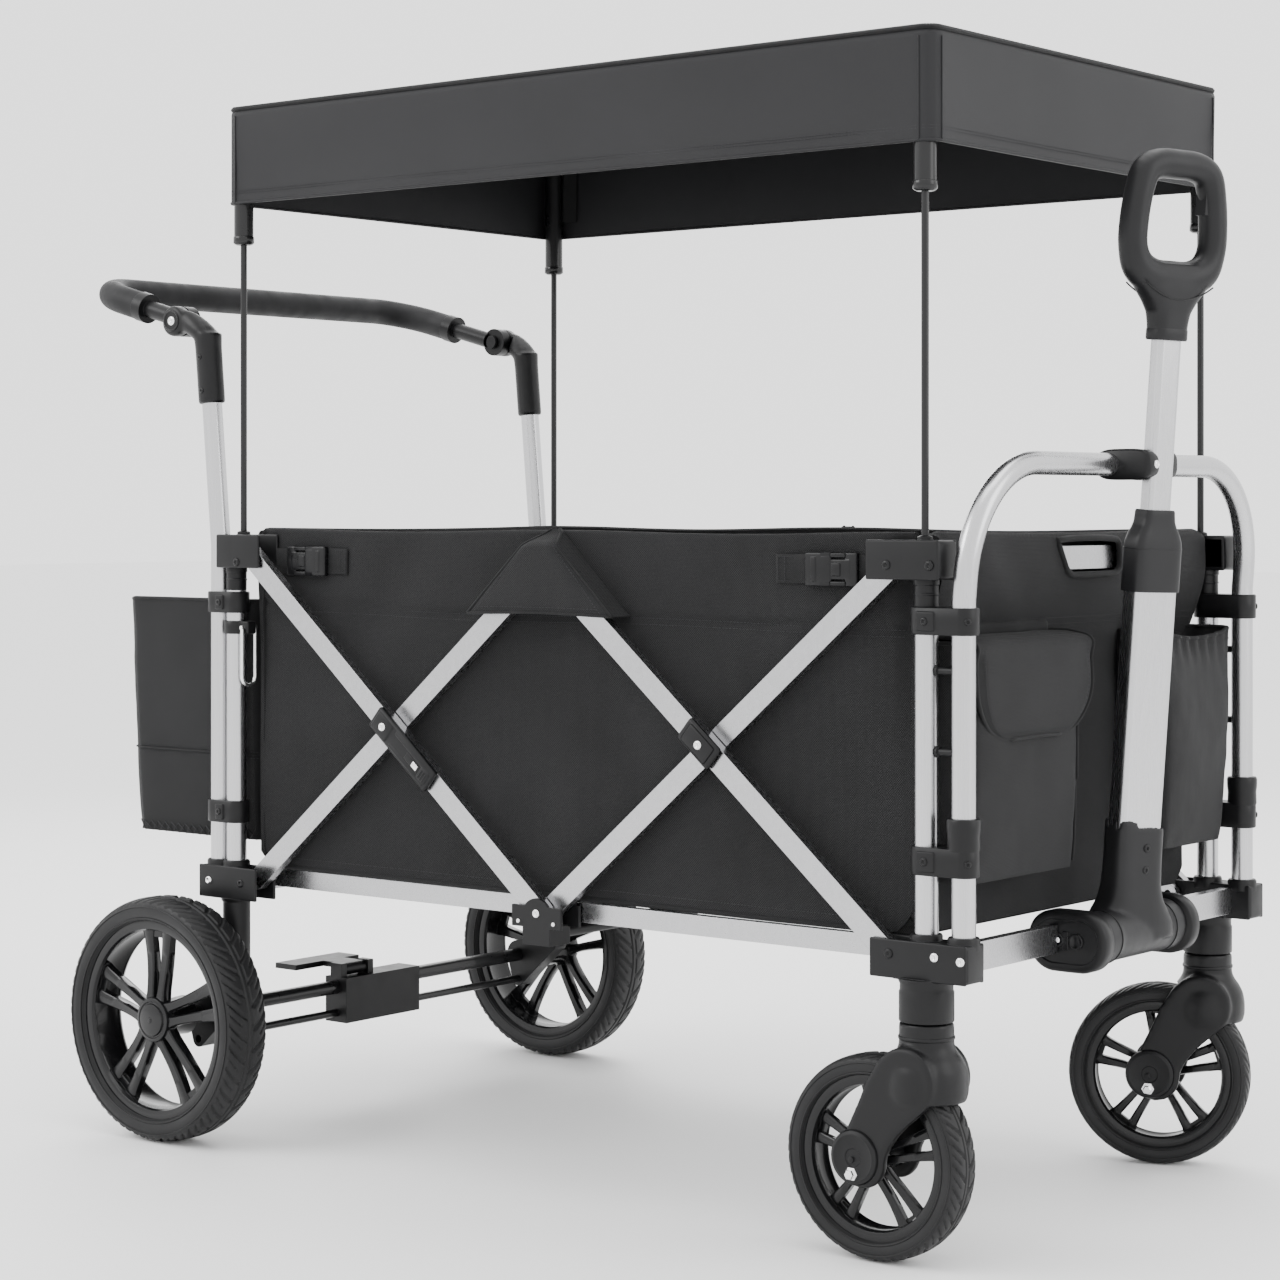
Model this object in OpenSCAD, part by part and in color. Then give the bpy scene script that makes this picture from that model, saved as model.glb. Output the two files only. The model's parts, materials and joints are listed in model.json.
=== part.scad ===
// Folding kids' pull wagon with a canopy, a push bar and a telescopic pull handle.
// X runs forward to the pull handle, Y to the left, Z up from the floor.

/* [Frame] */
// Distance between the front and rear corner posts
post_gap = 1018; // [900:1:1200]
// Distance between the left and right corner posts
post_track = 608; // [560:1:700]
// Outside diameter of the frame tubes
tube_d = 25; // [20:1:28]
// Wall thickness of the frame tubes
tube_wall = 1.6; // [1.2:0.1:2]
// Height of the top end of the corner posts
post_top = 678; // [640:1:720]
// Height of the bottom scissor pivots
pivot_low = 322; // [315:1:340]
// Height difference between the bottom and top scissor pivots
pivot_rise = 400; // [380:1:430]
// Distance of the scissor pivots from the corner posts
pivot_inset = 39; // [37:1:45]
// Height of a scissor bar's section
bar_h = 25; // [20:1:26]
// Thickness of a scissor bar's section
bar_t = 12; // [9:0.5:13]
// Radius of the scissor pivot pins
pin_r = 4; // [3:0.5:5]
// Distance of the U frame in front of the front posts
u_offset = 45; // [42:1:55]
// Height of the U frame's top bar
u_top = 827; // [800:1:880]
// Bend radius of the U frame
u_bend = 120; // [90:1:150]
// Forward lean of the U frame's upper part
u_lean = 5; // [0:0.5:8]

/* [Wheels] */
// Diameter of the rear wheels
rear_wheel_d = 300; // [260:1:320]
// Width of the rear tyres
rear_tyre_w = 66; // [50:1:72]
// Distance between the rear wheels' middle planes
rear_track = 738; // [725:1:800]
// Distance of the rear axle behind the rear posts
axle_back = 56; // [45:1:70]
// Diameter of the rear axle
axle_d = 18; // [14:1:20]
// Diameter of the front wheels
front_wheel_d = 214; // [180:1:222]
// Width of the front tyres
front_tyre_w = 46; // [36:1:50]
// Trail of the front casters
trail = 57; // [45:1:65]
// Resting turn of the left caster
left_turn = 21; // [-30:1:30]
// Diameter of the caster housings
caster_d = 57; // [50:1:60]

/* [Canopy] */
// Length of the canopy
canopy_l = 1044; // [1030:1:1100]
// Width of the canopy
canopy_w = 624; // [620:1:660]
// Height of the canopy's top
canopy_top = 1276; // [1200:1:1400]
// Height of the canopy's hanging edge
valance_h = 121; // [80:1:160]
// Diameter of the canopy poles
pole_d = 8; // [6:0.5:10]
// Diameter of the sleeves in the canopy's corners
sleeve_d = 24; // [18:1:24]

/* [Push bar] */
// Height of the push bar's joints
push_z = 1015; // [960:1:1040]
// Distance of the push bar's joints behind the rear posts
push_back = 99; // [90:1:120]
// Length of the push bar from its joints to its cross bar
push_reach = 188; // [170:1:240]
// Upward slope of the push bar at rest
push_slope = 15; // [0:1:30]
// Diameter of the push bar's foam grip
grip_d = 36; // [32:1:38]

/* [Pull handle] */
// Forward lean of the pull handle
stem_lean = 4.2; // [0:0.1:8]
// Turn of the pull handle's stem about its own axis
stem_turn = -20; // [-25:1:25]
// Height of the pull handle's pivot
stem_z = 317; // [305:1:325]
// Distance of the pull handle's pivot in front of the front posts
stem_x = 63; // [62:1:70]
// Length from the pivot to the lower end of the collar
outer_l = 374; // [340:1:420]
// Length from the pivot to the lower end of the grip
inner_l = 655; // [600:1:720]
// Width of the outer tube
outer_w = 60; // [54:1:64]
// Thickness of the outer tube
outer_t = 27; // [26:1:32]
// Width of the D grip
grip_w = 148; // [130:1:160]

/* [Fabric] */
// Height of the tub's rim
rim_z = 755; // [740:1:780]
// Thickness of the tub's walls
fabric_t = 6; // [4:0.5:7]
// Depth of the rear basket
basket_depth = 240; // [150:1:245]
// Height of the rear basket
basket_h = 300; // [250:1:300]
// Depth of the front pockets
pocket_depth = 62; // [40:1:70]
// Height of the front pockets
pocket_h = 248; // [200:1:260]

/* [Hidden] */
$fn = 48;

clear = 0.3;            // gap between pieces that move past each other
run_fit = 0.05;         // radial clearance of a pin in its bore
hair = 0.02;            // joint line between the pieces of a bent tube
seat = 0.5;             // gap under a soft piece that rests on its neighbour
layer_gap = 1.5;        // gap between neighbouring scissor layers
plate_t = 4;            // side plates of the plastic brackets
tube_r = tube_d / 2;
tube_in = tube_r - tube_wall;
post_y = post_track / 2;

// The object's middle lies between the D grip's front and the push bar's rear.
push_run = push_reach * cos(push_slope);
grip_top = inner_l + 197;
grip_wide = inner_l + 82;
grip_ball = 20;
grip_top_ball = 19;
grip_taper = 12;
wide_half = grip_w / 2 - grip_ball;
top_half = wide_half - grip_taper;
function ball_reach(h, side, r) = h * sin(stem_lean) + side * abs(sin(stem_turn)) * cos(stem_lean) + r;
rear_end = post_gap / 2 + push_back + push_run + grip_d / 2;
front_end = post_gap / 2 + stem_x
    + max(ball_reach(grip_top - grip_top_ball, top_half, grip_top_ball),
          ball_reach(grip_wide, wide_half, grip_ball));
mid = (rear_end - front_end) / 2;
front_x = mid + post_gap / 2;
rear_x = mid - post_gap / 2;

// Scissor layers, from the tub outwards
inner_y = post_y - 8;
outer_y = inner_y + bar_t + layer_gap;
plate_out = outer_y + bar_t + 1;
plate_in = inner_y - 1.5 - plate_t;
panel_y = plate_in - 0.7;
pivot_top = pivot_low + pivot_rise;
pivot_mid = pivot_low + pivot_rise / 2;
pivot_f = front_x - pivot_inset;
pivot_r = rear_x + pivot_inset;
half_run = (pivot_f - pivot_r) / 2;
bar_l = sqrt(half_run * half_run + pivot_rise * pivot_rise);
bar_angle = atan(pivot_rise / half_run);

u_x = front_x + u_offset;
knee_r = 120;
u_knee = post_top + 2;
u_rise = (u_top - u_knee - knee_r * sin(u_lean)) / cos(u_lean) - hair;
u_bar_x = u_x + knee_r * (1 - cos(u_lean)) + (u_rise + hair) * sin(u_lean);
push_tube_x = rear_x - tube_d - 3;
push_knee = post_top + 50;
push_joint_x = rear_x - push_back;
push_lean = 5.2;
push_rise_l = push_z - 22 - push_knee - knee_r * sin(push_lean);
bracket_low = pivot_low - bar_h;
bracket_h = 40;
rail_h = 22;
rail_t = 11;
rail_lap = 25;
cross_rail_h = 30;
cross_rail_t = 12;
axle_x = rear_x - axle_back;
rear_wheel_r = rear_wheel_d / 2;
front_wheel_r = front_wheel_d / 2;
axle_r = axle_d / 2;
stem_px = front_x + stem_x;
barrel_r = 29;
barrel_half = 85;
cap_t = 22;
stem_pin_r = 8;
inner_w = 32;
inner_t = 20;
tub_low = pivot_low + rail_h / 2 + seat;
end_in = post_gap / 2 - 21;
bracket_tube_z = bracket_low + 6;   // lower ends of the tubes in their brackets
caster_top_h = 44;                  // housing of a caster's stem under its bracket
caster_stem_r = 8;

// Canopy, wheels and brake
pole_y = canopy_w / 2 - 14.5;
pole_foot = pivot_top + 5;
rear_tyre_h = 31;
front_tyre_h = 23;
rear_hub_w = 62;
brake_rod_z = rear_wheel_r - 34;
brake_rod_r = 5;
pedal_z = rear_wheel_r + 22;

// Push bar
joint_r = 19;
socket_y = post_y + 1;
socket_x = push_tube_x - knee_r * (1 - cos(push_lean)) - push_rise_l * sin(push_lean);
arm_y = post_y - 12;
arm_r = 11;
corner_r = 62;
foam_start = 92;
button_r = 9;
hook_z = 632;
hook_wire_r = 2.5;

// The D grip's opening
gap_low = inner_l + 78;
gap_high = grip_top - 34;
gap_w = grip_w * 0.72;
trigger_w = 16;
trigger_h = 28;
trigger_z = gap_high - 34;

// Bags
bag_t = 4;
bag_y = post_y - tube_r - 4.2;
basket_top = 664;
pocket_x = mid + end_in + seat;
pocket_low = 392;
right_pocket = [-bag_y, -62];
left_pocket = [112, bag_y];
flap_z = pocket_low + pocket_h + 6;
flap_t = 3;
flap_drop = 108;

module both_sides() {
    children();
    mirror([0, 1, 0]) children();
}

// A cylinder along Y, from y to y + w
module y_rod(x, y, z, r, w) {
    translate([x, y, z]) rotate([-90, 0, 0]) cylinder(r = r, h = w);
}

// A box from one corner to the other
module block(low, high) {
    translate(low) cube(high - low);
}

module round_rect(w, t, r) {
    square([w - 2 * r, t], center = true);
    square([w, t - 2 * r], center = true);
    for (i = [-1, 1], j = [-1, 1])
        translate([i * (w / 2 - r), j * (t / 2 - r)]) circle(r = r);
}

// Section of a frame tube
module tube_ring() {
    difference() {
        circle(r = tube_r);
        circle(r = tube_in);
    }
}

// A short bend that leans a rising tube towards -X
module tube_knee(angle) {
    translate([-knee_r, 0, 0]) rotate([90, 0, 0]) rotate_extrude(angle = angle)
        translate([knee_r, 0]) tube_ring();
}

// Places what follows such a bend
module after_knee(angle) {
    translate([-knee_r * (1 - cos(angle)), 0, knee_r * sin(angle)]) rotate([0, -angle, 0])
        translate([0, 0, hair]) children();
}

module pipe(h, r, wall) {
    difference() {
        cylinder(r = r, h = h);
        translate([0, 0, -1]) cylinder(r = r - wall, h = h + 2);
    }
}

/* Posts and tubes */

module post_pair(x) {
    both_sides() translate([x, post_y, bracket_tube_z]) pipe(post_top - bracket_tube_z, tube_r, tube_wall);
}

module rear_posts() {
    color("silver") post_pair(rear_x);
}

module front_posts() {
    color("silver") post_pair(front_x);
}

module push_rise() {
    translate([push_tube_x, post_y, push_knee]) after_knee(push_lean) children();
}

module push_bar_tubes() {
    color("silver") both_sides() {
        translate([push_tube_x, post_y, bracket_tube_z])
            pipe(push_knee - bracket_tube_z - hair, tube_r, tube_wall);
        translate([push_tube_x, post_y, push_knee]) tube_knee(push_lean);
        push_rise() pipe(push_rise_l, tube_r, tube_wall);
    }
}

// The U frame's leaning plane
module u_plane() {
    translate([0, 0, u_knee]) mirror([1, 0, 0]) after_knee(u_lean) children();
}

module u_frame() {
    color("silver") translate([u_x, 0, 0]) {
        both_sides() {
            translate([0, post_y, bracket_tube_z]) pipe(u_knee - bracket_tube_z - hair, tube_r, tube_wall);
            translate([0, post_y, u_knee]) mirror([1, 0, 0]) tube_knee(u_lean);
            u_plane() {
                translate([0, post_y, 0]) pipe(u_rise - u_bend - hair, tube_r, tube_wall);
                translate([0, post_y - u_bend, u_rise - u_bend]) rotate([90, 0, 90])
                    rotate_extrude(angle = 90) translate([u_bend, 0]) tube_ring();
            }
        }
        u_plane() translate([0, u_bend - post_y + hair, u_rise]) rotate([-90, 0, 0])
            pipe(post_track - 2 * u_bend - 2 * hair, tube_r, tube_wall);
    }
}

/* Scissor bars */

// One bar of the given length from its pivot, at its slope, with bores at both ends and its middle
module scissor_bar(x, z, slope, y) {
    translate([x, y, z]) rotate([0, -slope, 0]) difference() {
        union() {
            translate([0, 0, -bar_h / 2]) cube([bar_l, bar_t, bar_h]);
            for (e = [0, bar_l]) y_rod(e, 0, 0, bar_h / 2, bar_t);
        }
        for (e = [0, bar_l / 2, bar_l]) y_rod(e, -1, 0, pin_r + run_fit, bar_t + 2);
    }
}

// Pin through two crossing bars
module cross_pin(x, z) {
    y_rod(x, inner_y - 2, z, pin_r, 2 * bar_t + layer_gap + 4);
}

module rear_scissor_inner() {
    color("silver") both_sides() scissor_bar(pivot_r, pivot_low, bar_angle, inner_y);
    color("gray") both_sides() {
        cross_pin(mid, pivot_top);
        cross_pin(mid - half_run / 2, pivot_mid);
    }
}

module rear_scissor_outer() {
    color("silver") both_sides() scissor_bar(pivot_r, pivot_top, -bar_angle, outer_y);
}

module front_scissor_inner() {
    color("silver") both_sides() scissor_bar(mid, pivot_low, bar_angle, inner_y);
}

module front_scissor_outer() {
    color("silver") both_sides() scissor_bar(mid, pivot_top, -bar_angle, outer_y);
    color("gray") both_sides() cross_pin(mid + half_run / 2, pivot_mid);
}

// Catch housing on the outer face of the rear falling bars
module scissor_latch() {
    latch_l = 125;
    latch_t = 8;
    slot_l = 28;
    color("black") both_sides()
        translate([pivot_r, outer_y + bar_t, pivot_top]) rotate([0, bar_angle, 0])
            difference() {
                translate([bar_l / 2 - 30, 0, -bar_h / 2 - 2]) cube([latch_l, latch_t, bar_h + 4]);
                y_rod(bar_l / 2, -1, 0, pin_r + 1, 6);
                translate([bar_l / 2 + 50, 5, -4]) cube([slot_l, latch_t, 8]);
            }
}

// Hub plates at the foot of the middle bars, joined under the floor by a tube
module centre_hub() {
    hub_drop = 24;
    hub_tube_r = 8;
    color("black") both_sides() difference() {
        union() {
            for (y = [plate_in, plate_out]) {
                y_rod(mid, y, pivot_low - 4, 21, plate_t);
                block([mid - 36, y, pivot_low - 16], [mid + 36, y + plate_t, pivot_low + 8]);
            }
            block([mid - 20, plate_in, pivot_low - hub_drop - 12],
                  [mid + 20, plate_out + plate_t, pivot_low - bar_h / 2 - 1.5]);
        }
        y_rod(mid, plate_in - 1, pivot_low - hub_drop, hub_tube_r, 60);
    }
    color("gray") both_sides() y_rod(mid, plate_in - 1, pivot_low, pin_r, plate_out - plate_in + plate_t + 2);
    color("silver")
        y_rod(mid, -plate_out - plate_t, pivot_low - hub_drop, hub_tube_r, 2 * (plate_out + plate_t));
}

/* Floor rails, one pair from each end, lapped side by side in the middle */

module floor_rail(x, reach, y) {
    color("silver") both_sides() difference() {
        union() {
            block([min(x, reach), y, pivot_low - rail_h / 2],
                  [max(x, reach), y + rail_t, pivot_low + rail_h / 2]);
            y_rod(x, y, pivot_low, rail_h / 2, rail_t);
        }
        y_rod(x, y - 1, pivot_low, pin_r + run_fit, rail_t + 2);
    }
}

module floor_rail_rear() {
    floor_rail(pivot_r, mid + rail_lap, plate_in - 2 * rail_t - 4);
}

module floor_rail_front() {
    floor_rail(pivot_f, mid - rail_lap, plate_in - rail_t - 2);
}

/* Corner brackets */

// A plastic block round two tubes, with a fork for the scissor bar and the floor rail's pin
module bottom_bracket(x, tube2_x, dir) {
    pivot_x = x - dir * pivot_inset;
    rail_pin = 2 * rail_t + 8;
    body = 20;
    fork = 17;
    difference() {
        union() {
            block([min(x - dir * body, tube2_x + dir * body), plate_in, bracket_low],
                  [max(x - dir * body, tube2_x + dir * body), plate_out + plate_t, bracket_low + bracket_h]);
            for (y = [plate_in, plate_out])
                block([min(pivot_x - dir * fork, x), y, bracket_low],
                      [max(pivot_x - dir * fork, x), y + plate_t, bracket_low + bracket_h]);
        }
        for (c = [x, tube2_x])
            translate([c, post_y, bracket_tube_z]) cylinder(r = tube_r, h = bracket_h);
        y_rod(pivot_x, plate_in - 1, pivot_low, pin_r, plate_out - plate_in + plate_t + 2);
    }
    y_rod(pivot_x, plate_in - rail_pin, pivot_low, pin_r, plate_out - plate_in + plate_t + rail_pin + 1);
}

module rear_bottom_brackets() {
    color("black") both_sides() bottom_bracket(rear_x, push_tube_x, -1);
}

module front_bottom_brackets() {
    color("black") both_sides() {
        bottom_bracket(front_x, u_x, 1);
        translate([front_x, post_y, bracket_low - caster_top_h]) difference() {
            cylinder(d = caster_d, h = caster_top_h);
            translate([0, 0, -1]) cylinder(r = caster_stem_r + run_fit, h = caster_top_h - 4);
        }
    }
}

// A sliding top bracket: inner tube in the post, collar on its top, and a fork for the bar
module top_bracket(x, dir, back) {
    low = pivot_top - 16;
    high = pivot_top + 25;
    pivot_x = x - dir * pivot_inset;
    body = 16;
    fork = 23;
    slide_l = 245;
    difference() {
        union() {
            block([min(x - dir * body, x + dir * back), plate_in, low],
                  [max(x - dir * body, x + dir * back), plate_out + plate_t, high]);
            for (y = [plate_in, plate_out])
                block([min(pivot_x - dir * fork, x), y, low],
                      [max(pivot_x - dir * fork, x), y + plate_t, high]);
            translate([x, post_y, post_top + clear]) cylinder(r = tube_r, h = low - post_top);
            translate([x, post_y, post_top - slide_l]) cylinder(r = tube_in - clear, h = slide_l + 1);
        }
        y_rod(pivot_x, plate_in - 1, pivot_top, pin_r, plate_out - plate_in + plate_t + 2);
        translate([x - dir * 6, pole_y, high - 20]) cylinder(d = pole_d, h = 21);
    }
    y_rod(pivot_x, plate_in, pivot_top, pin_r, plate_out - plate_in + plate_t + 1);
}

module rear_top_brackets() {
    color("black") both_sides() top_bracket(rear_x, -1, 14.5);
}

module front_top_brackets() {
    color("black") both_sides() top_bracket(front_x, 1, 29);
}

module front_top_rail() {
    color("silver") block([front_x - 12, -plate_in, pivot_top - 10], [front_x, plate_in, pivot_top + 16]);
}

module rear_cross_rail() {
    color("silver")
        block([rear_x, -plate_in, bracket_tube_z],
              [rear_x + cross_rail_t, plate_in, bracket_tube_z + cross_rail_h]);
}

module front_rails() {
    rail_x = front_x + 26;
    color("silver") both_sides()
        block([rail_x, barrel_half + cap_t, bracket_tube_z],
              [rail_x + cross_rail_t, plate_in, bracket_tube_z + cross_rail_h]);
}

/* Clips that hold each post to its second tube */

module double_clip(x, tube2_x, z, h) {
    clip_r = tube_r + 3.5;
    difference() {
        union() {
            for (c = [x, tube2_x]) translate([c, post_y, z]) cylinder(r = clip_r, h = h);
            block([min(x, tube2_x), post_y - clip_r + 2, z], [max(x, tube2_x), post_y + clip_r - 2, z + h]);
        }
        for (c = [x, tube2_x]) translate([c, post_y, z - 1]) cylinder(r = tube_r, h = h + 2);
    }
}

module rear_clips() {
    low_clip_z = 390;
    band_h = 16;
    color("black") {
        both_sides() {
            double_clip(rear_x, push_tube_x, post_top - 28, 26);
            double_clip(rear_x, push_tube_x, low_clip_z, 27);
        }
        mirror([0, 1, 0]) translate([rear_x, post_y, hook_z - band_h / 2]) difference() {
            union() {
                cylinder(r = tube_r + 3, h = band_h);
                block([tube_r, -6.5, 0], [tube_r + 16, 8.5, band_h]);
            }
            translate([0, 0, -1]) cylinder(r = tube_r, h = band_h + 2);
            y_rod(tube_r + 10, -20, band_h / 2, hook_wire_r + run_fit, 40);
        }
    }
}

module front_clips() {
    low_clip_z = 404;
    clip_h = 29;
    sleeve_h = 31;
    peg_z = [530, 613];
    color("black") both_sides() {
        double_clip(front_x, u_x, post_top - 28, 28);
        double_clip(front_x, u_x, low_clip_z, clip_h);
        translate([u_x, post_y, low_clip_z + clip_h]) pipe(sleeve_h, tube_r + 4, 4);
        for (z = peg_z)
            translate([front_x + tube_r, post_y, z]) rotate([0, 90, 0])
                cylinder(r = 4, h = u_offset - tube_d);
    }
}

/* Rear wheels, axle and brake */

// Tyre section: a squarish crown on a flat seat
function tyre_points(r, w, h) = [for (a = [0:10:180])
    [r - h + h * pow(abs(sin(a)), 0.55), w / 2 * sign(cos(a)) * pow(abs(cos(a)), 0.55)]];

module tyre(r, w, h) {
    rotate([90, 0, 0]) rotate_extrude($fn = 96) polygon(tyre_points(r, w, h));
}

// Rim with five pairs of spokes and a hub, closed at its outer end (towards +Y)
module rim(r, w, bore_r, hub_r, hub_w) {
    rim_t = 6;
    spoke_w = r * 0.085;
    rotate([-90, 0, 0]) difference() {
        union() {
            difference() {
                cylinder(r = r, h = w, center = true, $fn = 96);
                cylinder(r = r - rim_t, h = w + 2, center = true, $fn = 96);
            }
            for (i = [0:4]) rotate([0, 0, 72 * i]) for (s = [-1, 1])
                translate([0, 0, hub_w * 0.12]) linear_extrude(w * 0.3) polygon([
                    [hub_r * 0.8, s * spoke_w * 0.35], [r - rim_t / 2, s * spoke_w * 1.1],
                    [r - rim_t / 2, s * spoke_w * 2.1], [hub_r * 0.8, s * spoke_w * 1.3]]);
            cylinder(r = hub_r, h = hub_w, center = true);
        }
        translate([0, 0, -hub_w / 2 - 1]) cylinder(r = bore_r, h = hub_w - 5);
    }
}

module rear_tyre(side) {
    color("dimgray") translate([axle_x, side * rear_track / 2, rear_wheel_r])
        tyre(rear_wheel_r, rear_tyre_w, rear_tyre_h);
}

module rear_rim(side) {
    hub_r = 26;
    color("black") translate([axle_x, side * rear_track / 2, rear_wheel_r]) mirror([0, side > 0 ? 0 : 1, 0])
        rim(rear_wheel_r - rear_tyre_h, rear_tyre_w - 16, axle_r + run_fit, hub_r, rear_hub_w);
}

module rear_tyre_right() { rear_tyre(-1); }
module rear_tyre_left() { rear_tyre(1); }
module rear_rim_right() { rear_rim(-1); }
module rear_rim_left() { rear_rim(1); }

module rear_axle() {
    reach = rear_track / 2 + rear_hub_w / 2 - 7;
    color("black") y_rod(axle_x, -reach, rear_wheel_r, axle_r, 2 * reach);
    color("black") y_rod(axle_x, -post_y + 12, brake_rod_z, brake_rod_r, post_track - 24);
}

module rear_axle_legs() {
    leg_r = 17;
    leg_z = rear_wheel_r + 18;
    foot_t = 24;
    foot_y = post_y - foot_t / 2;
    color("black") both_sides() difference() {
        union() {
            translate([rear_x, post_y, leg_z]) cylinder(r = leg_r, h = bracket_low - leg_z);
            hull() {
                y_rod(rear_x, foot_y, leg_z + 4, 14, foot_t, $fn = 32);
                y_rod(axle_x, foot_y, rear_wheel_r, 20, foot_t, $fn = 32);
                y_rod(axle_x, foot_y, brake_rod_z, 10, foot_t, $fn = 32);
            }
        }
        y_rod(axle_x, foot_y - 1, rear_wheel_r, axle_r, foot_t + 6);
        y_rod(axle_x, foot_y - 1, brake_rod_z, brake_rod_r, foot_t + 6);
    }
}

module brake_housing() {
    color("black") difference() {
        union() {
            block([axle_x - 19, -72, rear_wheel_r - 46], [axle_x + 19, 68, rear_wheel_r + 13]);
            for (y = [-72, -22])
                block([axle_x - 10, y, rear_wheel_r + 12], [axle_x + 10, y + 10, pedal_z + 9]);
        }
        y_rod(axle_x, -80, rear_wheel_r, axle_r, 160);
        y_rod(axle_x, -80, brake_rod_z, brake_rod_r, 160);
        y_rod(axle_x, -80, pedal_z, pin_r, 80);
    }
    color("gray") y_rod(axle_x, -72, pedal_z, pin_r, 60);
}

module brake_pedal() {
    color("black") difference() {
        union() {
            y_rod(axle_x, -61.5, pedal_z, 8, 39);
            block([axle_x - 62, -61, pedal_z + 1], [axle_x, -23, pedal_z + 8]);
            block([axle_x - 72, -112, pedal_z + 1], [axle_x - 34, 6, pedal_z + 8]);
        }
        y_rod(axle_x, -70, pedal_z, pin_r + run_fit, 60);
    }
}

/* Front casters */

module place_caster(side) {
    translate([front_x, side * post_y, 0]) rotate([0, 0, side > 0 ? left_turn : 0]) children();
}

module caster_fork(side) {
    arm_y = front_tyre_w / 2 + 3;
    arm_t = 10;
    collar_z = bracket_low - caster_top_h - seat;
    crown_z = front_wheel_d + 8;
    axle_bolt_r = 5;
    color("black") place_caster(side) {
        difference() {
            union() {
                translate([0, 0, crown_z]) cylinder(d = caster_d, h = collar_z - crown_z);
                translate([0, 0, crown_z]) cylinder(r = caster_stem_r, h = collar_z - crown_z + 36);
                hull() {
                    translate([0, 0, crown_z + 14]) cylinder(d = caster_d, h = 2, $fn = 32);
                    block([-38, -arm_y - arm_t, crown_z - 4], [36, arm_y + arm_t, crown_z]);
                }
                for (s = [-1, 1]) translate([0, s * (arm_y + arm_t / 2) - arm_t / 2, 0]) hull() {
                    y_rod(8, 0, crown_z - 26, 28, arm_t, $fn = 32);
                    y_rod(-20, 0, crown_z - 20, 20, arm_t, $fn = 32);
                    y_rod(-trail, 0, front_wheel_r, 22, arm_t, $fn = 32);
                }
            }
            y_rod(-trail, -arm_y - arm_t - 1, front_wheel_r, axle_bolt_r, 2 * (arm_y + arm_t + 1));
        }
        y_rod(-trail, -arm_y - arm_t - 2, front_wheel_r, axle_bolt_r, 2 * (arm_y + arm_t + 2));
    }
}

module front_tyre(side) {
    color("dimgray") place_caster(side) translate([-trail, 0, front_wheel_r])
        tyre(front_wheel_r, front_tyre_w, front_tyre_h);
}

module front_rim(side) {
    hub_r = 18;
    hub_w = front_tyre_w + 4;
    rim_w = front_tyre_w - 12;
    bore_r = 5 + run_fit;
    color("black") place_caster(side) translate([-trail, 0, front_wheel_r])
        mirror([0, side > 0 ? 0 : 1, 0]) difference() {
            rim(front_wheel_r - front_tyre_h, rim_w, bore_r, hub_r, hub_w);
            y_rod(0, -hub_w, 0, bore_r, 2 * hub_w);
        }
}

module caster_fork_right() { caster_fork(-1); }
module caster_fork_left() { caster_fork(1); }
module front_tyre_right() { front_tyre(-1); }
module front_tyre_left() { front_tyre(1); }
module front_rim_right() { front_rim(-1); }
module front_rim_left() { front_rim(1); }

/* Push bar */

// A sleeve on each tube and a link beside it that carries the joint's disc and pin
module push_bar_sockets() {
    sleeve_r = tube_r + 4;
    sleeve_l = 82;
    link_t = 17;
    color("black") both_sides() {
        difference() {
            union() {
                push_rise() translate([0, 0, push_rise_l - sleeve_l])
                    cylinder(r = sleeve_r, h = sleeve_l + 8);
                hull() {
                    y_rod(push_joint_x, socket_y, push_z, joint_r, link_t, $fn = 32);
                    y_rod(socket_x, socket_y, push_z - 22, sleeve_r - 2.5, link_t, $fn = 32);
                }
            }
            push_rise() cylinder(r = tube_r + run_fit, h = push_rise_l);
        }
        y_rod(push_joint_x, post_y - 9, push_z, pin_r, 12);
    }
}

module push_plane() {
    translate([push_joint_x, 0, push_z]) rotate([0, push_slope, 0]) mirror([1, 0, 0]) children();
}

// The push bar's U path, from one joint round the cross bar to the other
module push_u(r, start) {
    for (s = [-1, 1]) {
        translate([start, s * arm_y, 0]) rotate([0, 90, 0])
            cylinder(r = r, h = push_reach - corner_r - start);
        translate([push_reach - corner_r, s * (arm_y - corner_r), 0]) rotate([0, 0, s > 0 ? 0 : -90])
            rotate_extrude(angle = 90) translate([corner_r, 0]) circle(r = r);
    }
    y_rod(push_reach, corner_r - arm_y, 0, r, 2 * (arm_y - corner_r));
}

module push_bar_arms() {
    collar_w = 16;
    color("black") push_plane() difference() {
        union() {
            push_u(arm_r, 12);
            both_sides() {
                y_rod(0, post_y - 15, 0, joint_r, 15.5);
                translate([foam_start - collar_w, arm_y, 0]) rotate([0, 90, 0])
                    cylinder(r = grip_d / 2 + 1, h = collar_w);
            }
        }
        both_sides() {
            y_rod(0, post_y - 20, 0, pin_r + run_fit, 30);
            y_rod(0, post_y - 30, 0, button_r, 20.5);
        }
    }
}

module push_bar_grip() {
    color("dimgray") push_plane() difference() {
        push_u(grip_d / 2, foam_start);
        push_u(arm_r, foam_start - 2);
    }
}

module joint_button(side) {
    button_t = 6.5;
    inner_face = post_y - 21;
    y = side > 0 ? inner_face : -inner_face - button_t;
    color("black") y_rod(push_joint_x, y, push_z, button_r - clear, button_t);
}
module joint_button_right() { joint_button(-1); }
module joint_button_left() { joint_button(1); }

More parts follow.
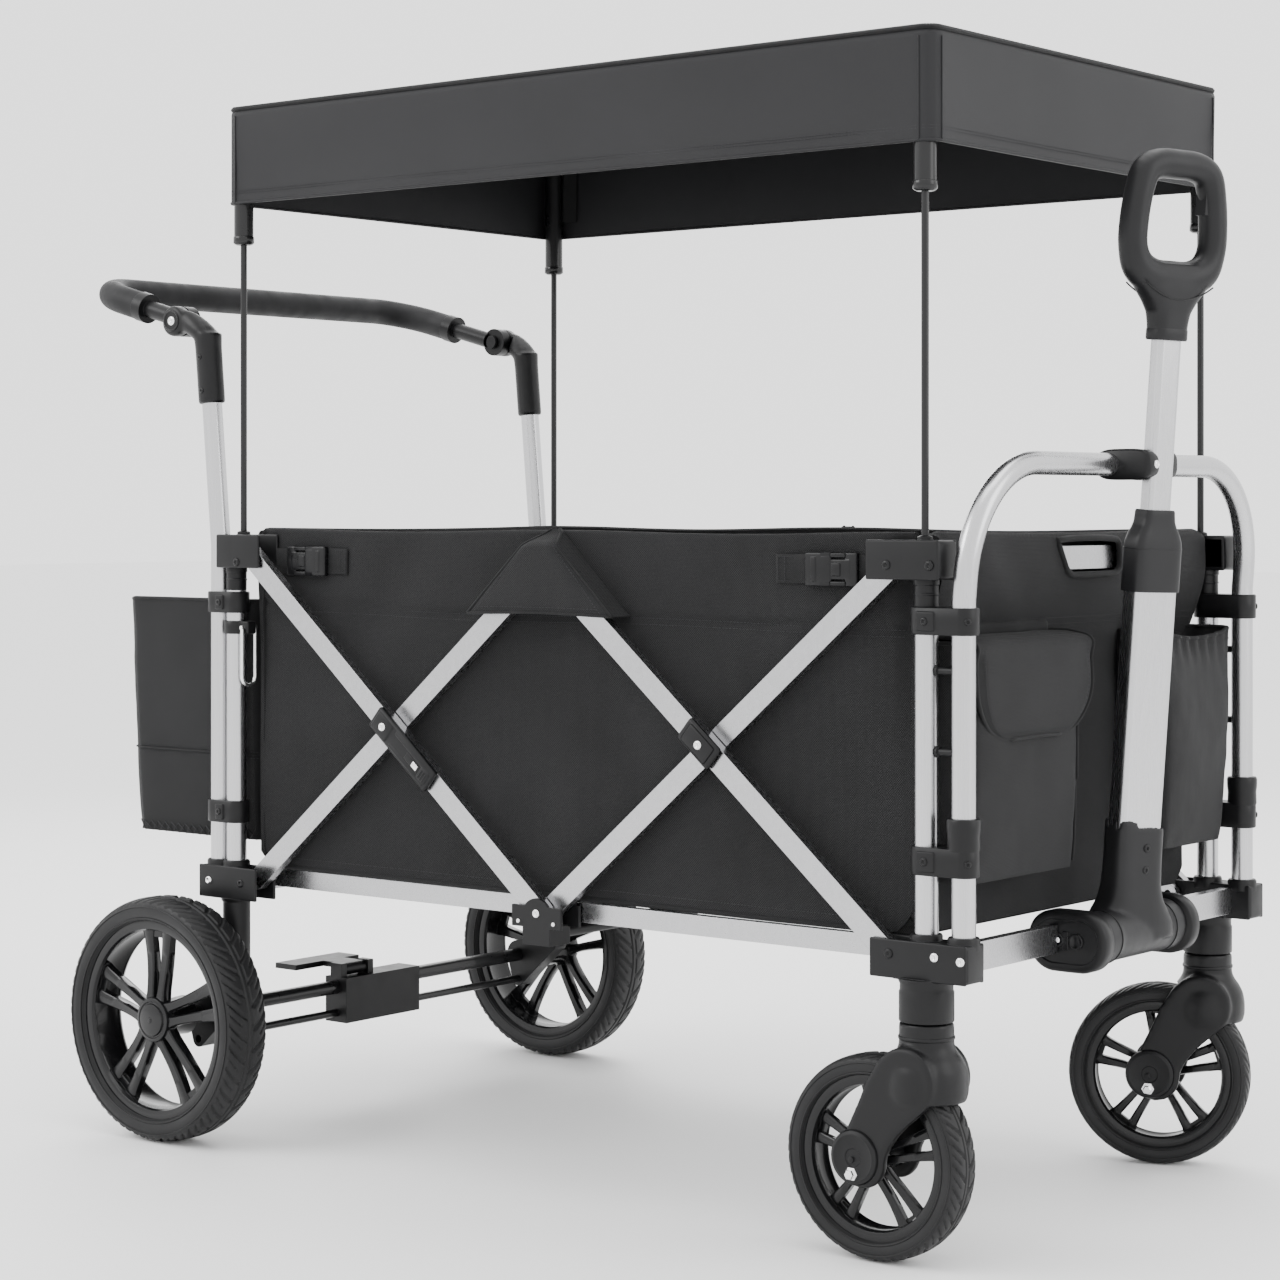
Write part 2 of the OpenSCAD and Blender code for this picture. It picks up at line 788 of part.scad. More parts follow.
module wire_hook() {
    hook_r = 11;
    hook_l = 60;
    color("silver") mirror([0, 1, 0]) translate([rear_x + tube_r + 10, post_y + 1, hook_z]) {
        y_rod(0, -hook_r - hook_wire_r, 0, hook_wire_r, 2 * (hook_r + hook_wire_r));
        for (y = [-hook_r, hook_r])
            translate([0, y, -hook_l]) cylinder(r = hook_wire_r, h = hook_l);
        translate([0, 0, -hook_l]) rotate([90, 0, 90]) rotate([0, 0, 180])
            rotate_extrude(angle = 180) translate([hook_r, 0]) circle(r = hook_wire_r);
    }
}

/* Pull handle */

module stem_frame() {
    translate([stem_px, 0, stem_z]) rotate([0, stem_lean, 0]) rotate([0, 0, stem_turn]) children();
}

// A rounded bar along the stem
module stem_section(w, t, r, h) {
    linear_extrude(h) rotate(90) round_rect(w, t, r);
}

module handle_mount() {
    color("black") both_sides() difference() {
        hull() {
            y_rod(stem_px, barrel_half + clear, stem_z, barrel_r + 4, cap_t - 1, $fn = 32);
            y_rod(stem_px - 30, barrel_half + clear, stem_z - 2, barrel_r + 3, cap_t - 1, $fn = 32);
        }
        y_rod(stem_px, barrel_half - 1, stem_z, stem_pin_r, cap_t - 6);
    }
    color("gray") y_rod(stem_px, -barrel_half - cap_t + 6, stem_z, stem_pin_r, 2 * (barrel_half + cap_t - 6));
}

module handle_boot() {
    color("black") difference() {
        union() {
            y_rod(stem_px, -barrel_half, stem_z, barrel_r, 2 * barrel_half);
            hull() {
                y_rod(stem_px, -44, stem_z, barrel_r - 4, 88, $fn = 32);
                stem_frame() translate([0, 0, 56]) stem_section(outer_w + 6, outer_t + 8, 12, 60);
            }
        }
        y_rod(stem_px, -barrel_half - 1, stem_z, stem_pin_r + run_fit, 2 * barrel_half + 2);
        stem_frame() translate([0, 0, 40]) stem_section(outer_w, outer_t, 8, 100);
    }
}

module handle_outer_tube() {
    wall = 2;
    color("silver") stem_frame() translate([0, 0, 41]) difference() {
        stem_section(outer_w, outer_t, 8, outer_l);
        translate([0, 0, -1]) stem_section(outer_w - 2 * wall, outer_t - 2 * wall, 8 - wall, outer_l + 2);
    }
}

module handle_collar() {
    body_l = 54;
    neck_z = outer_l + 70;
    neck_l = 18;
    color("black") stem_frame() difference() {
        union() {
            translate([0, 0, outer_l]) stem_section(outer_w + 5, outer_t + 7, 11, body_l);
            hull() {
                translate([0, 0, outer_l + body_l - 2]) stem_section(outer_w + 5, outer_t + 7, 11, 2);
                translate([0, 0, neck_z]) stem_section(inner_w + 9, inner_t + 9, 9, 2);
            }
            translate([0, 0, neck_z]) stem_section(inner_w + 9, inner_t + 9, 9, neck_l);
        }
        translate([0, 0, outer_l - 1]) stem_section(outer_w, outer_t, 8, 43);
        translate([0, 0, outer_l]) stem_section(inner_w + 2 * clear, inner_t + 2 * clear, 6, 100);
    }
}

module handle_inner_tube() {
    wall = 1.8;
    low = 130;
    length = inner_l + 30 - low;
    color("silver") stem_frame() translate([0, 0, low]) difference() {
        stem_section(inner_w, inner_t, 6, length);
        translate([0, 0, -1]) stem_section(inner_w - 2 * wall, inner_t - 2 * wall, 6 - wall, length + 2);
    }
}

module handle_grip() {
    color("dimgray") stem_frame() difference() {
        union() {
            hull() {
                for (s = [-1, 1]) {
                    translate([0, s * wide_half, grip_wide]) sphere(r = grip_ball, $fn = 32);
                    translate([0, s * top_half, grip_top - grip_top_ball])
                        sphere(r = grip_top_ball, $fn = 32);
                    translate([0, s * (inner_w / 2 + 2), inner_l + 34]) sphere(r = 14, $fn = 32);
                }
            }
            hull() {
                translate([0, 0, inner_l]) stem_section(inner_w + 12, inner_t + 12, 10, 2);
                translate([0, 0, inner_l + 40]) stem_section(inner_w + 22, inner_t + 12, 10, 2);
            }
        }
        rotate([90, 0, 90]) translate([0, 0, -40]) linear_extrude(80) {
            polygon([[-gap_w * 0.42, gap_high], [gap_w * 0.42, gap_high], [gap_w / 2, gap_low + 34],
                     [-gap_w / 2, gap_low + 34]]);
            translate([0, gap_low + 34]) intersection() {
                circle(r = gap_w / 2, $fn = 64);
                translate([-gap_w / 2, -34]) square([gap_w, 35]);
            }
        }
        translate([0, 0, inner_l - 1]) stem_section(inner_w, inner_t, 6, 31);
        translate([-trigger_w / 2 - clear, gap_w * 0.4, trigger_z - clear])
            cube([trigger_w + 2 * clear, 16, trigger_h + 2 * clear]);
    }
}

module grip_trigger() {
    color("black") stem_frame()
        translate([-trigger_w / 2, gap_w * 0.4 - 6, trigger_z]) cube([trigger_w, 14, trigger_h]);
}

// Clip on the U frame's top bar that holds the pull handle's inner tube
module handle_clip() {
    half_w = 32;
    jaw_y = 19;
    jaw_t = 9;
    jaw_h = 15;
    reach = stem_px + (u_top - stem_z) * tan(stem_lean) + 8;
    color("black") difference() {
        union() {
            y_rod(u_bar_x, -half_w, u_top, tube_r + 4.5, 2 * half_w);
            for (y = [-jaw_y - jaw_t, jaw_y])
                block([u_bar_x, y, u_top - jaw_h], [reach, y + jaw_t, u_top + jaw_h]);
        }
        y_rod(u_bar_x, -half_w - 1, u_top, tube_r + run_fit, 2 * half_w + 2);
        stem_frame() translate([0, 0, 400]) stem_section(inner_w + 2, inner_t + 2, 6, 200);
    }
}

/* Tub and bags */

module rear_panel() {
    color("dimgray") block([mid - end_in, -panel_y, tub_low], [mid - end_in + fabric_t, panel_y, rim_z]);
}

module front_panel() {
    color("dimgray") block([mid + end_in - fabric_t, -panel_y, tub_low], [mid + end_in, panel_y, rim_z]);
}

module side_panels() {
    reach = end_in - fabric_t - clear;
    color("dimgray") both_sides()
        block([mid - reach, panel_y - fabric_t, tub_low], [mid + reach, panel_y, rim_z]);
}

module tub_floor() {
    reach = end_in - fabric_t - clear;
    side = panel_y - fabric_t - clear;
    color("dimgray") block([mid - reach, -side, tub_low], [mid + reach, side, tub_low + 8]);
}

module side_straps() {
    strap_l = 100;
    strap_in = half_run - 24;
    strap_t = 1.6;
    buckle_l = 50;
    buckle_in = half_run - 50;
    color("black") both_sides() {
        for (x = [mid - strap_in, mid + strap_in - strap_l])
            block([x, panel_y + 0.1, pivot_top - 20], [x + strap_l, panel_y + strap_t, pivot_top + 14]);
        for (x = [mid - buckle_in, mid + buckle_in - buckle_l])
            block([x, panel_y + strap_t, pivot_top - 16], [x + buckle_l, panel_y + 8, pivot_top + 10]);
    }
}

module open_bag(low, high, wall) {
    difference() {
        block(low, high);
        block(low + [wall, wall, wall], high + [-wall, -wall, 1]);
    }
}

module rear_basket() {
    inner_x = mid - end_in - seat;
    basket_low = basket_top - basket_h;
    color("dimgray")
        open_bag([inner_x - basket_depth, -bag_y, basket_low], [inner_x, bag_y, basket_top], bag_t);
}

module front_pockets() {
    color("dimgray") for (p = [right_pocket, left_pocket])
        open_bag([pocket_x, p[0], pocket_low], [pocket_x + pocket_depth, p[1], pocket_low + pocket_h], bag_t);
}

module pocket_flap() {
    y = [right_pocket[0] + 4, right_pocket[1] - 4];
    front = pocket_x + pocket_depth + 5;
    color("black") {
        block([pocket_x, y[0], flap_z - flap_t], [front, y[1], flap_z]);
        block([front - flap_t, y[0], flap_z - flap_drop], [front, y[1], flap_z]);
    }
}

/* Canopy */

module canopy_poles(x) {
    sleeve_h = 166;
    color("black") both_sides() translate([x, pole_y, 0]) {
        translate([0, 0, pole_foot]) cylinder(d = pole_d, h = canopy_top - pole_foot - 4);
        translate([0, 0, canopy_top - 2.4 - sleeve_h]) cylinder(d = sleeve_d, h = sleeve_h);
    }
}

module canopy_poles_rear() { canopy_poles(rear_x + 6); }
module canopy_poles_front() { canopy_poles(front_x - 6); }

module canopy_roof() {
    wall = 1.5;
    color("dimgray") difference() {
        block([mid - canopy_l / 2, -canopy_w / 2, canopy_top - valance_h],
              [mid + canopy_l / 2, canopy_w / 2, canopy_top]);
        block([mid - canopy_l / 2 + wall, -canopy_w / 2 + wall, canopy_top - valance_h - 1],
              [mid + canopy_l / 2 - wall, canopy_w / 2 - wall, canopy_top - 2]);
    }
}

rear_posts();
push_bar_tubes();
rear_bottom_brackets();
rear_clips();
rear_cross_rail();
rear_axle_legs();
rear_axle();
brake_housing();
push_bar_sockets();
rear_panel();
rear_basket();
side_panels();
tub_floor();
side_straps();
push_bar_arms();
push_bar_grip();
joint_button_right();
joint_button_left();
brake_pedal();
wire_hook();
rear_tyre_right();
rear_tyre_left();
rear_rim_right();
rear_rim_left();
caster_fork_right();
caster_fork_left();
front_tyre_right();
front_tyre_left();
front_rim_right();
front_rim_left();
front_posts();
u_frame();
front_bottom_brackets();
front_clips();
front_rails();
handle_clip();
handle_mount();
front_panel();
front_pockets();
pocket_flap();
handle_boot();
handle_outer_tube();
handle_collar();
handle_inner_tube();
handle_grip();
grip_trigger();
rear_scissor_inner();
rear_scissor_outer();
front_scissor_inner();
front_scissor_outer();
centre_hub();
floor_rail_rear();
floor_rail_front();
rear_top_brackets();
front_top_brackets();
front_top_rail();
canopy_poles_rear();
canopy_poles_front();
canopy_roof();
scissor_latch();
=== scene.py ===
import json
import math

import bmesh
import bpy
import numpy as np
from mathutils import Matrix, Vector, noise

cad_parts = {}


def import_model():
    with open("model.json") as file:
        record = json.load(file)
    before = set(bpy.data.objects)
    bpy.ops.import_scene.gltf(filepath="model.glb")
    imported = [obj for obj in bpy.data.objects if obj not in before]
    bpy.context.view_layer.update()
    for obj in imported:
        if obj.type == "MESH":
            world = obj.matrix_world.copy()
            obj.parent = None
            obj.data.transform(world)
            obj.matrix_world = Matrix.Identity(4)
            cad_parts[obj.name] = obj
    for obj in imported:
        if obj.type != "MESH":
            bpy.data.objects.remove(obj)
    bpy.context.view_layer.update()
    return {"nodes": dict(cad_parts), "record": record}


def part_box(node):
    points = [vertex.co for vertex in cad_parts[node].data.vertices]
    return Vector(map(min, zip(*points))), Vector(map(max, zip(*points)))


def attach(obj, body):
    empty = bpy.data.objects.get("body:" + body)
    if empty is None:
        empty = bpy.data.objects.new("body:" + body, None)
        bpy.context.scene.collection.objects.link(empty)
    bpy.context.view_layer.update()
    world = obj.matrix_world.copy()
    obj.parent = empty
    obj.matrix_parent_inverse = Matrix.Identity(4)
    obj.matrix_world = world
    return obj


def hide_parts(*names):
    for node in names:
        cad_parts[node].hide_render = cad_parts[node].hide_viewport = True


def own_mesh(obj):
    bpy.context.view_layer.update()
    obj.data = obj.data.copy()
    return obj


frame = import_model()


# Places, in millimetres: X from the middle between the posts, Y from the centre plane, Z from the floor

def centre_x(node):
    low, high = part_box(node)
    return (low.x + high.x) / 2


MID = (centre_x("front_posts") + centre_x("rear_posts")) / 2
END = (centre_x("front_posts") - MID) * 1000
POST_Y = 304
PIVOT_X, PIVOT_LOW, PIVOT_TOP, PIVOT_MID = 470, 322, 722, 522
SLOPE = math.atan2(400, 470)
RIM_Z = 755
TUB_LOW = 333.5
STRAP_Z = 715
TURN = 2 * math.pi
FRONT_PAIR, REAR_PAIR = 45, 28
PIVOT_IN = 39
POLE_Y, POLE_IN = 297.5, 6
PLATES, PLATE_T = (290.5, 322.5), 4
PLATE_OUT = 326.5
TOP_BLOCK, LOW_BLOCK = (706, 747), (297, 337)


def world(p):
    return Vector((MID + p[0] / 1000, p[1] / 1000, p[2] / 1000))


# Materials

class Nodes:
    def __init__(self, name, color, rough, metal=0.0):
        self.material = bpy.data.materials.new(name)
        self.material.use_nodes = True
        self.tree = self.material.node_tree
        self.shader = self.tree.nodes["Principled BSDF"]
        self.shader.inputs["Base Color"].default_value = (*color, 1)
        self.shader.inputs["Roughness"].default_value = rough
        self.shader.inputs["Metallic"].default_value = metal

    def add(self, kind, *links, **values):
        node = self.tree.nodes.new("ShaderNode" + kind)
        for key, value in values.items():
            if hasattr(node, key):
                setattr(node, key, value)
            else:
                node.inputs[key].default_value = value
        for i, link in enumerate(links):
            if link is None:
                continue
            if isinstance(link, (int, float)):
                node.inputs[i].default_value = link
            else:
                self.tree.links.new(link, node.inputs[i])
        return node

    def math(self, op, a, b=None):
        return self.add("Math", a, b, operation=op).outputs[0]

    def link(self, out, name):
        self.tree.links.new(out, self.shader.inputs[name])

    def coords(self, scale=(1, 1, 1)):
        base = self.add("TexCoord").outputs["Object"]
        return self.add("Mapping", base, Scale=scale).outputs[0]

    def noise(self, scale, detail=3.0, stretch=(1, 1, 1)):
        return self.add("TexNoise", self.coords(stretch), Scale=scale, Detail=detail).outputs["Fac"]

    def ramp(self, value, low, high, color_a, color_b):
        node = self.add("MapRange", value)
        node.inputs["From Min"].default_value = low
        node.inputs["From Max"].default_value = high
        mix = self.add("Mix", node.outputs[0], data_type="RGBA")
        mix.inputs[6].default_value = (*color_a, 1)
        mix.inputs[7].default_value = (*color_b, 1)
        return mix.outputs[2]

    def span(self, value, low, high, a, b):
        node = self.add("MapRange", value)
        for key, number in (("From Min", low), ("From Max", high), ("To Min", a), ("To Max", b)):
            node.inputs[key].default_value = number
        return node.outputs[0]

    def bump(self, height, distance, strength=1.0, normal=None):
        node = self.add("Bump", Strength=strength, Distance=distance)
        self.tree.links.new(height, node.inputs["Height"])
        if normal is not None:
            self.tree.links.new(normal, node.inputs["Normal"])
        self.link(node.outputs[0], "Normal")

    def bevel(self, radius):
        return self.add("Bevel", Radius=radius, samples=4).outputs[0]


def tint(color, k):
    return tuple(min(1, c * k) for c in color)


def fabric(name, color, pitch, flat=False, rough=0.85, depth=0.35, sheen=0.25, contrast=0.35):
    m = Nodes(name, color, rough)
    xyz = m.add("SeparateXYZ", m.add("TexCoord").outputs["Object"])
    if flat:
        u, v = xyz.outputs[0], xyz.outputs[1]
    else:
        u, v = m.math("ADD", xyz.outputs[0], xyz.outputs[1]), xyz.outputs[2]
    turn = 2 * math.pi / pitch * 1000
    su, sv = m.math("SINE", m.math("MULTIPLY", u, turn)), m.math("SINE", m.math("MULTIPLY", v, turn))
    over = m.math("GREATER_THAN", m.math("MULTIPLY", su, sv), 0.0)
    warp, weft = m.math("ABSOLUTE", su), m.math("ABSOLUTE", sv)
    thread = m.math("ADD", m.math("MULTIPLY", over, warp),
                    m.math("MULTIPLY", m.math("SUBTRACT", 1.0, over), weft))
    # Base colour follows the weave height and a large noise. Raised thread crowns are painted lighter, a
    # painted highlight on the weave. The fine slub noise is real yarn tone. The large noise (scale 9) is
    # painted wrinkle shade across the cloth.
    slub, wrinkle_shade = m.noise(900, 2), m.noise(9, 4)
    height = m.math("ADD", thread, m.math("MULTIPLY", slub, 0.8))
    shade = m.math("ADD", m.math("MULTIPLY", height, 0.6), wrinkle_shade)
    m.link(m.ramp(shade, 0.6, 1.7, tint(color, 1 - contrast), tint(color, 1 + contrast)), "Base Color")
    m.shader.inputs["Sheen Weight"].default_value = sheen
    m.shader.inputs["Sheen Roughness"].default_value = 0.4
    m.shader.inputs["Specular IOR Level"].default_value = 0.2
    m.bump(height, pitch / 1000 * depth, 0.8)
    return m.material


def plastic(name, color, rough, grain=0.00012, edge=1.5, coat=0.0):
    m = Nodes(name, color, rough)
    # The bevel mask paints rounded edges lighter by the edge factor, a painted highlight on the edges. The
    # darker noise patches below are random tone.
    bevel = m.bevel(0.0012)
    plain = m.add("NewGeometry").outputs["Normal"]
    facing = m.add("VectorMath", bevel, plain, operation="DOT_PRODUCT").outputs["Value"]
    painted_edge_highlight = m.ramp(facing, 0.75, 1.0, tint(color, 1 + edge), color)
    patch = m.add("Mix", m.span(m.noise(35, 4), 0.35, 0.7, 0.0, 0.35), data_type="RGBA",
                  blend_type="MULTIPLY")
    m.tree.links.new(painted_edge_highlight, patch.inputs[6])
    patch.inputs[7].default_value = (0.6, 0.6, 0.6, 1)
    m.link(patch.outputs[2], "Base Color")
    m.link(m.span(m.noise(55, 5), 0.3, 0.7, rough * 0.88, rough * 1.12), "Roughness")
    m.shader.inputs["Coat Weight"].default_value = coat
    m.shader.inputs["Specular IOR Level"].default_value = 0.24
    m.bump(m.noise(1400, 2), grain, 0.5, bevel)
    return m.material


def metal(name, color, rough, stretch, bevel=0.0008, scratch=0.00001):
    m = Nodes(name, color, rough, 1.0)
    soft = m.bevel(bevel)
    brush = m.noise(1.0, 3, stretch)
    m.link(m.ramp(brush, 0.3, 0.7, tint(color, 0.97), tint(color, 1.03)), "Base Color")
    m.link(m.span(brush, 0.3, 0.7, rough * 0.95, rough * 1.07), "Roughness")
    m.bump(brush, scratch, 0.4, soft)
    return m.material


def rubber(name, color, rough, scale=260):
    m = Nodes(name, color, rough)
    m.shader.inputs["Specular IOR Level"].default_value = 0.26
    m.link(m.ramp(m.noise(14, 4), 0.35, 0.7, tint(color, 0.8), tint(color, 1.35)), "Base Color")
    m.link(m.span(m.noise(40, 4), 0.3, 0.7, rough * 0.85, min(1, rough * 1.15)), "Roughness")
    m.bump(m.noise(scale * 5, 3), 0.00015, 0.6)
    return m.material


MAT = {
    "tube": metal("tube_aluminium", (0.52, 0.52, 0.53), 0.27, (600, 600, 8)),
    "bar": metal("bar_aluminium", (0.44, 0.44, 0.45), 0.27, (160, 900, 160), scratch=0.000003),
    "bracket": plastic("bracket_plastic", (0.0045, 0.0045, 0.005), 0.4),
    "grip": plastic("grip_plastic", (0.009, 0.009, 0.0098), 0.42, edge=0.6),
    "foam": rubber("grip_foam", (0.0085, 0.0085, 0.0092), 0.6, 120),
    "tyre": rubber("tyre_rubber", (0.0085, 0.0085, 0.009), 0.48),
    "rim": plastic("rim_plastic", (0.005, 0.005, 0.0055), 0.22, grain=0.00003, coat=0.12),
    "tub": fabric("tub_weave", (0.0085, 0.0085, 0.0093), 2.8, depth=0.6, sheen=0.07, contrast=0.75),
    "tub_flat": fabric("tub_weave_flat", (0.0085, 0.0085, 0.0093), 2.8, flat=True, depth=0.6, sheen=0.07,
                       contrast=0.75),
    "bag": fabric("bag_weave", (0.0075, 0.0075, 0.0082), 1.9, rough=0.66, depth=0.5, sheen=0.06,
                  contrast=0.6),
    "roof": fabric("canopy_weave", (0.0125, 0.0125, 0.0137), 0.7, rough=0.5, depth=0.1, sheen=0.02,
                   contrast=0.15),
    "roof_flat": fabric("canopy_weave_flat", (0.0125, 0.0125, 0.0137), 0.7, flat=True, rough=0.5, depth=0.1,
                        sheen=0.02, contrast=0.15),
    "web": fabric("webbing", (0.0058, 0.0058, 0.0064), 2.4, rough=0.62, depth=0.35, sheen=0.05),
    "thread": rubber("thread", (0.022, 0.022, 0.024), 0.6),
    "pole": plastic("pole_coat", (0.007, 0.007, 0.0075), 0.3, grain=0.00004, coat=0.2),
    "chrome": metal("bright_steel", (0.86, 0.86, 0.86), 0.1, (90, 90, 90), scratch=0.00001),
    "buckle": plastic("buckle_plastic", (0.0045, 0.0045, 0.005), 0.28),
    "mesh": rubber("net_thread", (0.02, 0.02, 0.021), 0.6),
}

# Mesh helpers

PIECES = {}


def angles(n):
    return [TURN * k / n for k in range(n)]


def signed_power(value, power):
    return math.copysign(abs(value) ** power, value)


def make(name, verts, faces, material, body, slot=None, smooth=True, local=True):
    mesh = bpy.data.meshes.new(name)
    points = [world(p) for p in verts] if local else [Vector(p) for p in verts]
    mesh.from_pydata(points, [], faces)
    mesh.validate()
    ob = bpy.data.objects.new(name, mesh)
    bpy.context.scene.collection.objects.link(ob)
    mesh.materials.append(MAT[material])
    bm = bmesh.new()
    bm.from_mesh(mesh)
    bmesh.ops.recalc_face_normals(bm, faces=bm.faces)
    bm.to_mesh(mesh)
    bm.free()
    if smooth:
        mesh.polygons.foreach_set("use_smooth", [True] * len(mesh.polygons))
    if body:
        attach(ob, body)
    PIECES[name] = ob
    return ob


def sharp(ob, angle=40):
    limit = math.radians(angle)
    bm = bmesh.new()
    bm.from_mesh(ob.data)
    for e in bm.edges:
        e.smooth = len(e.link_faces) == 2 and e.calc_face_angle(0) < limit
    bm.to_mesh(ob.data)
    bm.free()
    return ob


def grid_faces(rows, cols, closed_rows=False, closed_cols=False, start=0):
    faces = []
    for i in range(rows if closed_rows else rows - 1):
        for j in range(cols if closed_cols else cols - 1):
            a, b = i * cols + j, i * cols + (j + 1) % cols
            c, d = ((i + 1) % rows) * cols + (j + 1) % cols, ((i + 1) % rows) * cols + j
            faces.append((start + a, start + b, start + c, start + d))
    return faces


def loft(rings, closed=False, caps=True):
    cols = len(rings[0])
    verts = [p for ring in rings for p in ring]
    faces = grid_faces(len(rings), cols, closed, True)
    if caps and not closed:
        faces.append(tuple(range(cols))[::-1])
        faces.append(tuple((len(rings) - 1) * cols + i for i in range(cols)))
    return verts, faces


def sweep(points, radius, sides=10, closed=False, flat=1.0, caps=True):
    pts = [Vector(p) for p in points]
    n = len(pts)
    tangents = []
    for i in range(n):
        a = pts[(i - 1) % n] if closed or i else pts[i]
        b = pts[(i + 1) % n] if closed or i < n - 1 else pts[i]
        tangents.append((b - a).normalized())
    up = Vector((0, 0, 1)) if abs(tangents[0].z) < 0.9 else Vector((1, 0, 0))
    side = tangents[0].cross(up).normalized()
    rings = []
    for i in range(n):
        t = tangents[i]
        side = (side - t * side.dot(t)).normalized()
        other = t.cross(side)
        r = radius(i / max(1, n - 1)) if callable(radius) else radius
        rings.append([pts[i] + side * math.cos(a) * r + other * math.sin(a) * r * flat
                      for a in angles(sides)])
    return loft(rings, closed, caps)


def frame_of(axis):
    w = Vector(axis).normalized()
    up = Vector((0, 0, 1)) if abs(w.z) < 0.9 else Vector((1, 0, 0))
    u = up.cross(w).normalized()
    return u, w.cross(u), w


def shell(rows, inner):
    """A closed thin solid between two grids of the same size."""
    n, m = len(rows), len(rows[0])
    off = n * m
    rim = list(range(m)) + [i * m + m - 1 for i in range(1, n)]
    rim += [(n - 1) * m + j for j in range(m - 2, -1, -1)] + [i * m for i in range(n - 2, 0, -1)]
    faces = grid_faces(n, m) + grid_faces(n, m, start=off)
    faces += [(a, b, b + off, a + off) for a, b in zip(rim, rim[1:] + rim[:1])]
    return [p for row in rows + inner for p in row], faces


def lathe(profile, centre, axis, sides=32):
    u, v, w = frame_of(axis)
    c = Vector(centre)
    rings = []
    for r, h in profile:
        rings.append([c + w * h + (u * math.cos(a) + v * math.sin(a)) * max(r, 0.01)
                      for a in angles(sides)])
    return loft(rings)


def merge(parts):
    verts, faces = [], []
    for v, f in parts:
        base = len(verts)
        verts += list(v)
        faces += [tuple(i + base for i in face) for face in f]
    return verts, faces


def rounded(low, high, r, seg=3):
    bm = bmesh.new()
    bmesh.ops.create_cube(bm, size=1)
    lo, hi = Vector(low), Vector(high)
    for v in bm.verts:
        v.co = Vector([(lo[i] + hi[i]) / 2 + v.co[i] * (hi[i] - lo[i]) for i in range(3)])
    bmesh.ops.bevel(bm, geom=bm.edges, offset=r, segments=seg, affect="EDGES", profile=0.5)
    bm.verts.index_update()
    out = [v.co.copy() for v in bm.verts], [tuple(v.index for v in f.verts) for f in bm.faces]
    bm.free()
    return out


def bracket_box(x0, x1, y0, y1, z0, z1, r=3.2, seg=4):
    """A rounded box whose corners may be given in either order."""
    return rounded((min(x0, x1), min(y0, y1), z0), (max(x0, x1), max(y0, y1), z1), r, seg)


def turned(part, matrix):
    return [matrix @ Vector(v) for v in part[0]], part[1]


def resample(points, step):
    pts = [Vector(p) for p in points]
    out, left = [pts[0]], 0.0
    for a, b in zip(pts, pts[1:]):
        length = (b - a).length
        t = step - left
        while t <= length:
            out.append(a.lerp(b, t / length))
            t += step
        left = (left + length) % step
    return out


def stitches(points, pitch=4.6, length=3.0, r=0.42):
    pts = resample(points, pitch)
    parts = []
    for a, b in zip(pts, pts[1:]):
        d = (b - a).normalized()
        m = (a + b) / 2
        ends = [m - d * length / 2, m - d * length / 3, m + d * length / 3, m + d * length / 2]
        parts.append(sweep(ends, lambda t: r if 0.2 < t < 0.8 else r * 0.35, 6))
    return merge(parts)


def screw(centre, axis, r=4.2, head=2.2, hexed=True):
    ring = [(r * 0.35, -1.5), (r, -1.5), (r, head * 0.35), (r * 0.82, head * 0.85), (r * 0.55, head)]
    if hexed:
        ring += [(r * 0.42, head), (r * 0.4, head * 0.1), (0, head * 0.1)]
    else:
        ring += [(r * 0.2, head * 1.05), (0, head * 1.06)]
    return lathe(ring, centre, axis, 24 if not hexed else 18)


def organic(name, parts, cutters, voxel, rounds, material, body, replaces=()):
    verts, faces = merge(parts)
    ob = make(name, verts, faces, material, None)
    holes = []
    remesh = ob.modifiers.new("remesh", "REMESH")
    remesh.mode, remesh.voxel_size = "VOXEL", voxel / 1000
    for i, cut in enumerate(cutters):
        tool = make(f"{name}_cut{i}", cut[0], cut[1], material, None)
        tool.hide_render = True
        holes.append(tool)
        mod = ob.modifiers.new("cut", "BOOLEAN")
        mod.object, mod.operation, mod.solver = tool, "DIFFERENCE", "EXACT"
    if cutters:
        again = ob.modifiers.new("again", "REMESH")
        again.mode, again.voxel_size = "VOXEL", voxel / 1000
    soften = ob.modifiers.new("soften", "SMOOTH")
    soften.factor, soften.iterations = 0.5, rounds
    bpy.context.view_layer.update()
    done = bpy.data.meshes.new_from_object(ob.evaluated_get(bpy.context.evaluated_depsgraph_get()))
    ob.modifiers.clear()
    ob.data = done
    if not done.materials:
        done.materials.append(MAT[material])
    done.polygons.foreach_set("use_smooth", [True] * len(done.polygons))
    for tool in holes:
        del PIECES[tool.name]
        bpy.data.objects.remove(tool)
    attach(ob, body)
    if replaces:
        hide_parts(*replaces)
    return ob


def smooth_step(a, b, x):
    t = min(1, max(0, (x - a) / (b - a)))
    return t * t * (3 - 2 * t)


def bell(x, c, w):
    return math.exp(-((x - c) / w) ** 2)


def wobble(x, y, z):
    return noise.noise(Vector((x, y, z)))


def squash_tub(ob):
    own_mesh(ob)
    return ob


# CAD nodes keep their shape and take their slot's finish

FINISH = {
    "frame_tube": "tube", "scissor_bar": "bar", "bracket_plastic": "bracket", "grip_plastic": "grip",
    "grip_foam": "foam", "tyre": "tyre", "rim_plastic": "rim", "tub_fabric": "tub",
    "canopy_fabric": "roof", "webbing": "web", "black_metal": "pole", "bright_steel": "chrome",
}
SLOTS = {row["node"]: row["material_slot"] for row in frame["record"]["subparts"]}
for node, ob in frame["nodes"].items():
    if not ob.material_slots:
        ob.data.materials.append(None)
    for place in ob.material_slots:
        place.material = MAT[FINISH[SLOTS[node]]]

# Camera, light and floor

